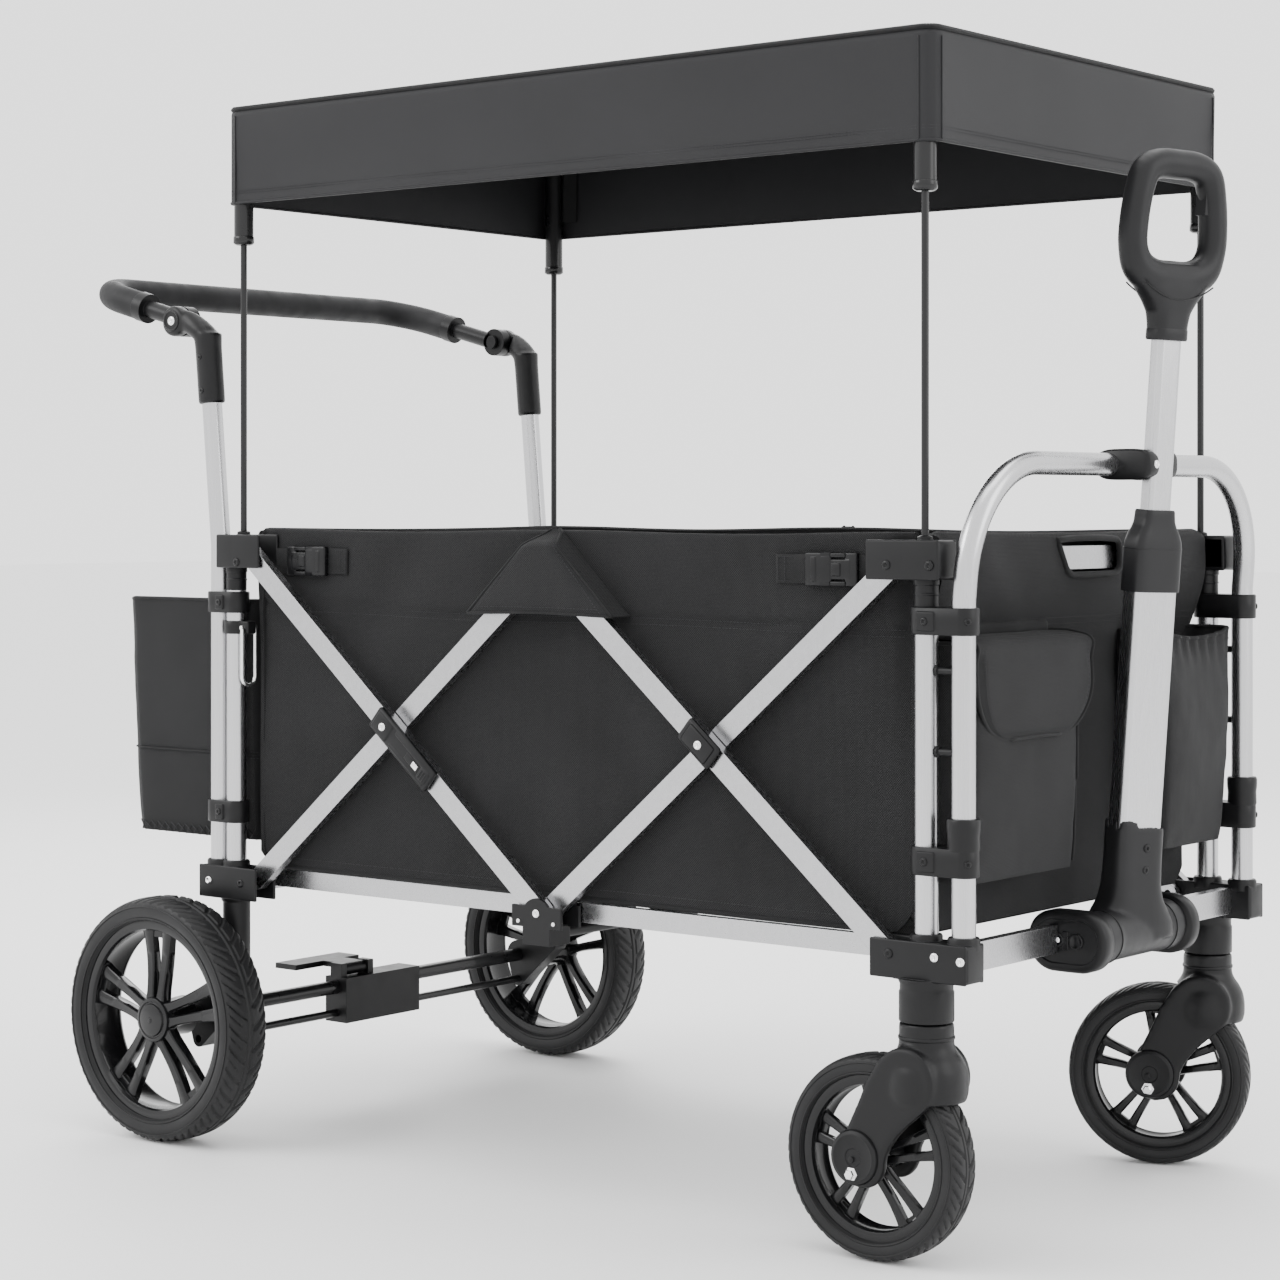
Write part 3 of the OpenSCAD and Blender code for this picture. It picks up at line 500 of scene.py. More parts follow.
lens = bpy.data.cameras.new("camera")
lens.lens, lens.sensor_width, lens.shift_y = 83.1, 36, -0.103
lens.clip_start, lens.clip_end = 0.05, 60
camera = bpy.data.objects.new("camera", lens)
camera.location = (2.1736 + MID, -2.8565, 0.7795)
camera.rotation_euler = (math.radians(90), 0, math.radians(38.65))
bpy.context.scene.collection.objects.link(camera)
bpy.context.scene.camera = camera


def lamp(name, place, target, size, power):
    data = bpy.data.lights.new(name, "AREA")
    data.shape, data.size, data.size_y, data.energy = "RECTANGLE", size[0], size[1], power
    ob = bpy.data.objects.new(name, data)
    ob.location = place
    ob.rotation_euler = (Vector(target) - Vector(place)).to_track_quat("-Z", "Y").to_euler()
    bpy.context.scene.collection.objects.link(ob)


lamp("key", (-2.2, -3.0, 3.0), (0, 0, 0.6), (2.4, 1.6), 85)
lamp("front", (3.4, 0.4, 1.9), (0.3, 0, 0.6), (1.6, 2.2), 32)
lamp("top", (0.2, 0.2, 3.8), (0, 0, 0.4), (3.2, 2.4), 60)
lamp("back", (-2.6, 2.6, 2.4), (0, 0, 0.7), (2.2, 1.6), 45)
sky = bpy.data.worlds.new("studio")
sky.use_nodes = True
sky.node_tree.nodes["Background"].inputs[0].default_value = (1, 1, 1, 1)
sky.node_tree.nodes["Background"].inputs[1].default_value = 2.1
bpy.context.scene.world = sky

floor_paint = Nodes("floor_paint", (0.92, 0.92, 0.92), 0.6)
MAT["floor"] = floor_paint.material
floor = make("studio_floor", [(-30, -30, 0), (30, -30, 0), (30, 30, 0), (-30, 30, 0)], [(0, 1, 2, 3)],
             "floor", None,
             local=False)

# Tub: side walls

def seam_z(x):
    return 661 - 0.006 * x + 1.5 * math.sin(x / 90)


def rim_height(x):
    return RIM_Z - 3.5 * math.sin(math.pi * min(1, abs(x) / 482)) ** 2


def side_out(x, z):
    """How far the side wall's outer face stands from the centre plane."""
    upper = smooth_step(seam_z(x) - 3, seam_z(x) + 3, z)
    low = smooth_step(TUB_LOW, 560, z)
    out = 286.5 + 2.2 * upper
    middle = bell(x, 20, 95) * (1 - upper) * bell(z, 420, 130)
    out += 2.2 * math.sin(x / 21 + 0.6 * math.sin(z / 60)) * middle
    out += 1.6 * math.sin((x + z) / 26) * bell(x - 0.8 * (z - 640), 250, 120) * low
    out += 1.5 * math.sin((x - z) / 24) * bell(x + 0.8 * (z - 640), -250, 120) * low
    out += 3.2 * wobble(x * 0.006, 3.1, z * 0.007) + 1.1 * wobble(x * 0.02, 7.7, z * 0.016)
    out -= 2.4 * bell(z, seam_z(x) - 2, 3.0)
    out -= 5 * smooth_step(455, 482, abs(x)) * smooth_step(400, 700, z)
    return min(out, 293.5)


def side_wall(side):
    xs = np.linspace(-482, 482, 240)
    rows = []
    for x in xs:
        top = rim_height(x)
        corner = 26 * max(0, (abs(x) - 452) / 30) ** 2
        foot = TUB_LOW + 4 + corner + 2.0 * wobble(x * 0.01, 1.3, 0)
        ring = []
        for t in np.linspace(0, 1, 60):
            z = foot + (top - 5 - foot) * t
            ring.append((x, side * side_out(x, z), z))
        base = side_out(x, top - 5)
        for a in (30, 60, 90, 120, 150):
            ring.append((x, side * (base - 5 + 5 * math.cos(math.radians(a))),
                         top - 5 + 5 * math.sin(math.radians(a))))
        for t in np.linspace(0, 1, 22):
            z = top - 5 + (foot + 1 - top + 5) * t
            ring.append((x, side * (side_out(x, z) - 7.5 - 2 * wobble(x * 0.012, 9, z * 0.012)), z))
        rows.append(ring)
    verts = [p for r in rows for p in r]
    faces = grid_faces(len(rows), len(rows[0]), closed_cols=True)
    cols = len(rows[0])
    faces += [tuple(range(cols)), tuple((len(rows) - 1) * cols + i for i in range(cols))]
    name = "tub_side_right" if side < 0 else "tub_side_left"
    ob = make(name, verts, faces, "tub", "root", "tub_fabric")
    squash_tub(sharp(ob, 60))
    lines = []
    for dz in (-4.5, -11.5):
        lines.append(stitches([(x, side * (side_out(x, seam_z(x) + dz) + 0.25), seam_z(x) + dz)
                               for x in np.arange(-476, 477, 6.0)]))
    lines.append(stitches([(x, side * (side_out(x, TUB_LOW + 16) + 0.25), TUB_LOW + 16)
                           for x in np.arange(-450, 451, 6.0)]))
    ob = make(name + "_stitching", *merge(lines), "thread", "root", "tub_fabric")
    squash_tub(ob)
    foot = [(x, side * (side_out(x, TUB_LOW + 8) - 1.5), TUB_LOW + 4.5) for x in np.linspace(-452, 452, 90)]
    hem = sweep(foot, 3.4, 8)
    squash_tub(make(name + "_hem", *hem, "web", "root", "webbing"))
    return name


for side in (-1, 1):
    side_wall(side)
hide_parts("side_panels")


# Triangular covers over the top hubs

def hub_cover(side):
    half, low, high = 108, 659, rim_height(0) + 1
    rows = []
    rise = high - low
    n_v, n_u = 40, 49
    for i in range(n_v):
        t = i / (n_v - 1)
        z = high - rise * t
        w = 6 + (half - 6) * t
        row = []
        for j in range(n_u):
            s = -1 + 2 * j / (n_u - 1)
            x = s * w
            edge = 1 - abs(s) ** 6
            lift = 4 + 35 * smooth_step(0.0, 0.22, t) * (0.84 + 0.16 * edge)
            lift += 1.2 * math.sin(x / 16 + t * 3) * t * (1 - abs(s))
            lift += 2 * wobble(x * 0.02, 5, z * 0.02) * t
            dip = -4 * math.sin(math.pi * (s + 1) / 2) * smooth_step(0.85, 1, t)
            row.append((x, side * (288 + lift), z - dip * 0.6))
        rows.append(row)
    inner = []
    for i, row in enumerate(rows):
        hem_rise = 1.2 if i == n_v - 1 else 0
        inner.append([(x * 0.985, y - side * 3.2, z + hem_rise) for x, y, z in row])
    name = "hub_cover_right" if side < 0 else "hub_cover_left"
    squash_tub(make(name, *shell(rows, inner), "tub", "root", "tub_fabric"))
    gussets = []
    for e in (0, n_u - 1):
        strip = []
        for i in range(n_v):
            p = rows[i][e]
            strip.append([p, (p[0] * 0.99, side * (288 + abs(p[1] - side * 288) * 0.5), p[2]),
                          (p[0] * 0.97, side * (side_out(p[0], p[2]) - 1), p[2])])
        gussets.append(([q for r in strip for q in r], grid_faces(n_v, 3)))
    ob = make(name + "_sides", *merge(gussets), "tub", "root", "tub_fabric")
    squash_tub(ob)
    seams = [sweep([row[0] for row in rows], 1.9, 7), sweep([row[-1] for row in rows], 1.9, 7),
             sweep(rows[-1], 1.6, 7)]
    squash_tub(make(name + "_binding", *merge(seams), "web", "root", "webbing"))
    lines = []
    for k in (3, n_u - 4):
        lines.append(stitches([(rows[i][k][0], rows[i][k][1] + side * 0.3, rows[i][k][2])
                               for i in range(4, n_v)]))
    lines.append(stitches([(p[0], p[1] + side * 0.3, p[2]) for p in rows[n_v - 4][3:-3]]))
    squash_tub(make(name + "_stitching", *merge(lines), "thread", "root", "tub_fabric"))


for side in (-1, 1):
    hub_cover(side)


# Compression straps with side-release buckles

def strap_row(side, end):
    """end -1 is the rear pair and +1 the front pair."""
    inner, outer = (310, 446) if end > 0 else (330, 452)
    zc = STRAP_Z
    parts = []
    for a, b in ((inner, inner + 62), (outer - 46, outer)):
        rows = []
        for x in np.linspace(a, b, 20):
            y = side_out(end * x, zc) + 1.6 + 2.6 * smooth_step(a + 25, a + 62, x)
            wave = 0.8 * math.sin(x / 9)
            rows.append([(end * x, side * (y + dy + wave * 0.3), zc + z + wave * 0.4)
                         for dy, z in ((0, -15.5), (1.4, -15.5), (1.6, 0),
                                       (1.4, 15.5), (0, 15.5), (0.1, 0))])
        parts.append(loft(rows))
    tag = ("right" if side < 0 else "left") + ("_front" if end > 0 else "_rear")
    squash_tub(make("strap_" + tag, *merge(parts), "web", "root", "webbing"))
    y0 = side_out(end * 385, zc) + 2.0
    base = 352 if end > 0 else 362

    def place(lo, hi, r):
        xs = sorted((end * (base + lo[0]), end * (base + hi[0])))
        ys = sorted((side * (y0 + lo[1]), side * (y0 + hi[1])))
        return rounded((xs[0], ys[0], zc + lo[2]), (xs[1], ys[1], zc + hi[2]), r)

    body = [place((0, 0, -18), (34, 8.5, 18), 2.2), place((30, 0.8, -11), (58, 7.4, 11), 1.8),
            place((50, 0, -18), (66, 7.0, 18), 2.0), place((8, 7.0, -13), (15, 9.6, 13), 1.0),
            place((20, 6, -17.6), (52, 8.2, -12.5), 1.5), place((20, 6, 12.5), (52, 8.2, 17.6), 1.5),
            place((34, 6.2, -7), (46, 9.0, 7), 1.2)]
    squash_tub(sharp(make("buckle_" + tag, *merge(body), "buckle", "root", "webbing")))
    box_stitch = []
    for dx in (3, 12):
        box_stitch.append(stitches([(end * (inner + dx),
                                     side * (side_out(end * (inner + dx), zc) + 3.5), zc + z)
                                    for z in np.linspace(-13, 13, 12)], 3.6, 2.4))
    for dz in (-13, 13):
        box_stitch.append(stitches([(end * (inner + dx),
                                     side * (side_out(end * (inner + dx), zc) + 3.5), zc + dz)
                                    for dx in np.linspace(3, 24, 8)], 3.6, 2.4))
    squash_tub(make("strap_stitching_" + tag, *merge(box_stitch), "thread", "root", "webbing"))


for side in (-1, 1):
    for end in (-1, 1):
        strap_row(side, end)
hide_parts("side_straps")


# Tub floor mat: one piece, with fold creases and stitching between its sections

def floor_mat():
    rows = []
    for x in np.linspace(-480, 480, 121):
        fold = sum(bell(x, c, 6) for c in (-240, 0, 240))
        ring = []
        for y in np.linspace(-279, 279, 61):
            edge = smooth_step(0, 24, 279 - abs(y)) * smooth_step(0, 18, 480 - abs(x))
            quilt = 0.6 * math.cos(x / 40 * math.pi) * math.cos(y / 46 * math.pi)
            ring.append((x, y, TUB_LOW + 3.2 + 5.2 * edge - 3.0 * fold * edge + quilt * edge))
        rows.append(ring)
    under = [[(p[0], p[1], TUB_LOW + 0.8) for p in row] for row in rows]
    ob = make("tub_floor_mat", *shell(rows, under), "tub_flat", "root", "tub_fabric")
    squash_tub(ob)
    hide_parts("tub_floor")
    lines = []
    for x in (-240, 0, 240):
        for d in (-7, 7):
            lines.append(stitches([(x + d, y, TUB_LOW + 6.2) for y in np.linspace(-262, 262, 60)]))
    squash_tub(make("tub_floor_stitching", *merge(lines), "thread", "root", "tub_fabric"))


floor_mat()


# End walls

def end_wall(end, body):
    """The wall at one end: end +1 is the front, which wraps the top rail and has a hand hole."""
    front = end > 0
    name = "tub_front_wall" if front else "tub_rear_wall"

    def out(y, z):
        lean = smooth_step(600, 720, z) * (31.5 if front else 4)
        base = 484.5 + lean + 2 * wobble(y * 0.008, 2.2, z * 0.008) + 1.0 * wobble(y * 0.02, 4.2, z * 0.02)
        if front:
            near_rim = smooth_step(600, 690, z)
            base += 2.4 * math.sin((y + z) / 20) * bell(y + 0.75 * (z - 640), -150, 70) * near_rim
            base += 2.0 * math.sin((y - z) / 22) * bell(y - 0.75 * (z - 640), 190, 70) * near_rim
        return base

    def hole(y, z):
        if not front:
            return False
        return -33 + 22 * (z - 706) / 40 * -1 < y < 80 and 708 < z < 744

    ys = np.linspace(-286.5, 286.5, 150)
    rows = []
    for y in ys:
        droop = 30 * max(0, (abs(y) - 262) / 25) ** 2
        top = RIM_Z + 1 - 3 * math.sin(math.pi * (y + 286) / 573) - (4 * smooth_step(270, 286, abs(y)))
        foot = TUB_LOW + 4 + droop * 0.6
        ring = [(end * out(y, z), y, z) for z in np.linspace(foot, top - 9, 84)]
        ox = out(y, top - 9)
        width = 13.5 if front else 6
        for a in (25, 50, 75, 105, 130, 155):
            ring.append((end * (ox - width + width * math.cos(math.radians(a))), y,
                         top - 9 + 9 * math.sin(math.radians(a))))
        for t in np.linspace(0, 1, 22):
            z = top - 9 + (foot + 1 - top + 9) * t
            inner = ox - 2 * width - t * 2
            wall = out(y, z) - 6
            k = smooth_step(0, 0.25, t)
            ring.append((end * (inner * (1 - k) + min(wall, 480) * k), y, z))
        rows.append(ring)
    n, m = len(rows), len(rows[0])
    verts = [p for r in rows for p in r]
    faces = []
    for f in grid_faces(n, m, closed_cols=True):
        c = [sum(verts[i][k] for i in f) / 4 for k in range(3)]
        if c[0] * end > 500 and hole(c[1], c[2]):
            continue
        faces.append(f)
    faces += [tuple(range(m)), tuple((n - 1) * m + i for i in range(m))]
    ob = make(name, verts, faces, "tub", body, "tub_fabric")
    sharp(ob, 70)
    lines = []
    for z in (652, 659):
        lines.append(stitches([(end * (out(y, z) + 0.4), y, z) for y in np.arange(-280, 281, 6.0)]))
    make(name + "_stitching", *merge(lines), "thread", body, "tub_fabric")
    if front:
        edge = [(-55, 744), (-45, 728), (-33, 711), (-20, 706), (30, 706), (74, 707), (82, 714),
                (80, 735), (76, 744)]
        path = [(out(y, z) + 0.5, y, z) for y, z in edge]
        top_edge = []
        for y in np.linspace(76, -55, 12):
            top_edge.append((out(y, 744) + 0.5, y, 745 + 2 * math.sin((y + 55) / 131 * math.pi)))
        make("hand_hole_binding", *sweep(resample(path + top_edge[1:-1], 6), 3.6, 8, closed=True), "web",
             body, "webbing")
        snap = lathe([(6, -1), (6, 1.5), (4.5, 3), (2, 3.4), (0, 3.4)], (out(90, 722) + 0.5, 92, 722),
                     (1, 0, 0), 20)
        make("hand_hole_snap", *snap, "chrome", body, "bright_steel")
    return ob, out


front_wall, front_out = end_wall(1, "front_frame")
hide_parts("front_panel")
rear_wall, rear_out = end_wall(-1, "root")
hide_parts("rear_panel")


# Bags: an open sewn box with soft corners and sagging faces

def on_rounded_rectangle(ax, ay, r, d):
    """The point a distance d along a rounded rectangle, counter-clockwise from its lower left straight."""
    corner = math.pi * r / 2
    for size, kind in ((2 * (ax - r), "s"), (corner, 0), (2 * (ay - r), "e"), (corner, 90),
                       (2 * (ax - r), "n"), (corner, 180), (2 * (ay - r), "w"), (corner, 270)):
        if d <= size:
            break
        d -= size
    if kind == "s":
        return -(ax - r) + d, -ay
    if kind == "e":
        return ax, -(ay - r) + d
    if kind == "n":
        return (ax - r) - d, ay
    if kind == "w":
        return -ax, (ay - r) - d
    a = math.radians(kind - 90 + 90 * d / corner)
    sx, sy = {0: (1, -1), 90: (1, 1), 180: (-1, 1), 270: (-1, -1)}[kind]
    return sx * (ax - r) + r * math.cos(a), sy * (ay - r) + r * math.sin(a)


def bag(name, low, high, body, slot, mouth, open_side, wall=2.4, sag=4.0, seed=0.0, taper=0.0, replaces=(),
        material="bag", gather=0.0):
    """low and high are the outer corners. open_side is the X side, +1 or -1, away from the wall behind."""
    x0, y0, z0 = low
    x1, y1, z1 = high
    r = 14
    n_round, n_up = 120, 54
    cy, cx = (y0 + y1) / 2, (x0 + x1) / 2
    hy, hx = (y1 - y0) / 2, (x1 - x0) / 2

    def section(t, inset):
        """Rounded rectangle at height share t, counter-clockwise."""
        pts = []
        z = z0 + (z1 - z0) * t
        shrink = taper * (1 - t) + 3 * math.exp(-t * 16)
        ay, ax = hy - shrink - inset, hx - shrink * 0.5 - inset
        rr = max(2, r - inset)
        length = 4 * (ay - rr) + 4 * (ax - rr) + 2 * math.pi * rr
        for k in range(n_round):
            p = on_rounded_rectangle(ax, ay, rr, length * k / n_round)
            away = p[0] * open_side / max(ax, 1)
            bulge = sag * math.sin(math.pi * min(1, t * 1.02)) * max(0, 1 - (p[1] / ay) ** 4) * max(0, away)
            ripple = 2.2 * wobble(p[0] * 0.02 + seed, p[1] * 0.014, z * 0.014)
            ripple += 0.8 * wobble(p[0] * 0.06, p[1] * 0.05 + seed, z * 0.04)
            pleat = gather * math.sin(p[1] / 3.4 + p[0] / 3.4) * math.exp(-((1 - t) * (z1 - z0) / 26) ** 2)
            rad = Vector((p[0] / max(ax, 1), p[1] / max(ay, 1)))
            if rad.length > 1e-6:
                rad.normalize()
            hold = 1 if away > -0.9 else 0
            px = p[0] + open_side * bulge + rad.x * (ripple + pleat) * hold
            py = p[1] + rad.y * (ripple + pleat) * 0.5 * hold
            zz = z - (mouth * max(0, away) * (1 - (p[1] / ay) ** 2) * smooth_step(0.6, 1, t))
            pts.append((cx + px, cy + py, zz))
        return pts

    ts = [0.004] + list(np.linspace(0.02, 1, n_up))
    outer = [section(t, 0) for t in ts]
    inner = [section(t, wall) for t in reversed(ts[1:])]
    inner.append([(x, y, max(z, z0 + wall + 1)) for x, y, z in section(ts[1], wall)])
    rings = outer + inner
    verts, faces = loft(rings, caps=False)
    m = n_round
    first, last = list(range(m)), [(len(rings) - 1) * m + i for i in range(m)]
    for ring, height in ((first, z0), (last, z0 + wall + 1)):
        centre = len(verts)
        mids = []
        for k in ring:
            p = verts[k]
            mids.append((cx + (p[0] - cx) * 0.55, cy + (p[1] - cy) * 0.55, height - 2.0 * (height == z0)))
        verts = list(verts) + mids + [(cx, cy, height - 3.0 * (height == z0))]
        for k in range(m):
            faces.append((ring[k], ring[(k + 1) % m], centre + (k + 1) % m, centre + k))
            faces.append((centre + k, centre + (k + 1) % m, centre + m))
    ob = make(name, verts, faces, material, body, slot)
    if replaces:
        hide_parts(*replaces)
    rim = [section(1, wall / 2)[k] for k in range(m)]
    make(name + "_binding", *sweep(rim, 2.6, 7, closed=True), "web", body, slot)
    return ob, section


def rel_box(node):
    low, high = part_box(node)
    shift = Vector((MID, 0, 0))
    return [1000 * c for c in low - shift], [1000 * c for c in high - shift]


def sew(name, section, t, body, offset=0.0, side=None):
    """A line of stitches round a bag at height share t."""
    ring = section(t, -offset - 0.4)
    if side is not None:
        ring = [p for p in ring if side(p)]
    make(name, *stitches(ring), "thread", body, "tub_fabric")


# Rear basket, with a net floor and a seam

low, high = rel_box("rear_basket")
basket, basket_at = bag("rear_basket_cloth", low, high, "root", "tub_fabric", 24, -1, sag=13, seed=2.0,
                        taper=10,
                        replaces=["rear_basket"])


def outward(p):
    """The part of the basket's outline that is away from the frame."""
    return p[0] < high[0] - 30 or abs(p[1]) > 270


sew("rear_basket_seam_upper", basket_at, 0.37, "root", side=outward)
sew("rear_basket_seam_lower", basket_at, 0.345, "root", side=outward)
net = []
low_ring, high_ring = basket_at(0.004, -0.6), basket_at(0.045, -0.8)
for k, point in enumerate(low_ring):
    if point[0] < high[0] - 20:
        j = (k + 1) % len(low_ring)
        net.append(sweep([low_ring[k], high_ring[j]], 0.6, 5))
        net.append(sweep([low_ring[j], high_ring[k]], 0.6, 5))
make("rear_basket_net", *merge(net), "mesh", "root", "tub_fabric")
band_line = [p for p in basket_at(0.36, -0.8) if outward(p)]
make("rear_basket_fold", *sweep(band_line, 1.3, 6), "bag", "root", "tub_fabric")

# Front pockets

low, high = rel_box("front_pockets")
right_low, right_high = (low[0], -286, low[2]), (high[0], -63, high[2])
left_low, left_high = (low[0], 113, low[2]), (high[0], 286, high[2])
pocket, pocket_at = bag("front_pocket_right", right_low, right_high, "front_frame", "tub_fabric", 6, 1,
                        sag=6, seed=5.0,
                        taper=5, replaces=["front_pockets"], material="tub")
bottle, bottle_at = bag("front_pocket_left", left_low, left_high, "front_frame", "tub_fabric", 10, 1,
                        sag=12, seed=8.0,
                        taper=10, gather=1.8)
sew("front_pocket_left_elastic", bottle_at, 0.955, "front_frame", side=lambda p: p[0] > low[0] + 12)
gusset = []
for y, inset in ((-277, 1), (-73, -1)):
    line = []
    for t in np.linspace(0.03, 0.97, 50):
        ring = pocket_at(t, -0.3)
        near = min(ring, key=lambda p: abs(p[1] - y) - (1000 if p[0] > high[0] - 8 else 0))
        line.append((near[0] + 0.6, y + 1.5 * math.sin(t * 9), near[2]))
    gusset.append(sweep(line, 1.5, 7))
make("front_pocket_gusset_seams", *merge(gusset), "web", "front_frame", "tub_fabric")

# The lid of the right pocket, hinged at its top edge

def pocket_lid():
    low, high = rel_box("pocket_flap")
    y0, y1 = -281, -48
    cy, half = (y0 + y1) / 2, (y1 - y0) / 2
    front_x = high[0]
    top_z, drop = high[2], high[2] - low[2] - 1
    path = [(low[0] - 1.5, top_z - 2), (low[0] + 12, top_z + 0.5), (low[0] + 36, top_z),
            (front_x - 10, top_z - 2.5)]
    for a in range(10, 91, 10):
        path.append((front_x - 12 + 12 * math.sin(math.radians(a)) + 2,
                     top_z - 15 + 12 * math.cos(math.radians(a))))
    fall = np.linspace(top_z - 20, top_z - drop, 44)
    path += [(front_x + 3.5 * math.sin((top_z - z) / drop * math.pi), z) for z in fall]
    n_u = 61
    rows = []
    for i, (x, z) in enumerate(path):
        depth = top_z - z
        row = []
        for j in range(n_u):
            s = -1 + 2 * j / (n_u - 1)
            width = half
            if depth > drop - 62:
                k = (depth - (drop - 62)) / 62
                width = half - 62 * (1 - math.sqrt(max(0.0, 1 - k * k)))
            y = cy + s * max(width, 4)
            lift = 2.2 * math.sin(math.pi * min(1, depth / drop)) * (1 - s * s)
            lift += 1.3 * wobble(y * 0.02, 12.0, z * 0.02)
            tuck = -4 * smooth_step(0.86, 1.0, abs(s)) * smooth_step(8, 30, depth)
            row.append((x + (lift + tuck) * smooth_step(0, 20, depth), y,
                        z + 1.2 * wobble(x * 0.03, y * 0.02, 3)))
        rows.append(row)
    n = len(rows)
    inner = []
    for i, row in enumerate(rows):
        a, b = rows[max(0, i - 1)][n_u // 2], rows[min(n - 1, i + 1)][n_u // 2]
        d = Vector((b[0] - a[0], 0, b[2] - a[2])).normalized()
        normal = Vector((-d.z, 0, d.x))
        inner.append([(p[0] - normal.x * 2.6, p[1], p[2] - normal.z * 2.6) for p in row])
    ob = make("pocket_lid", *shell(rows, inner), "tub", "flap", "tub_fabric")
    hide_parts("pocket_flap")
    edge = [row[0] for row in rows] + rows[-1][1:] + [row[-1] for row in rows[-2::-1]]
    make("pocket_lid_binding", *sweep(resample(edge, 4), 2.3, 8), "web", "flap", "webbing")
    rows_in = [[row[k] for row in rows[8:]] for k in (3, n_u - 4)]
    lines = [stitches([(p[0] + 0.4, p[1], p[2]) for p in line]) for line in rows_in]
    bottom = [(p[0] + 0.4, p[1], p[2]) for p in rows[-4][3:-3]]
    lines.append(stitches(bottom))
    make("pocket_lid_stitching", *merge(lines), "thread", "flap", "tub_fabric")
    strip = []
    for y in np.linspace(-284, -50, 60):
        x = front_out(y, 652) - 4
        strip.append([(x, y, 643), (x + 8, y, 643.5), (x + 9.5, y, 648), (x + 9.0, y, 655),
                      (x + 6, y, 659), (x, y, 659)])
    make("pocket_band", *loft(strip), "web", "front_frame", "tub_fabric")


pocket_lid()


# Canopy: one cloth over four poles

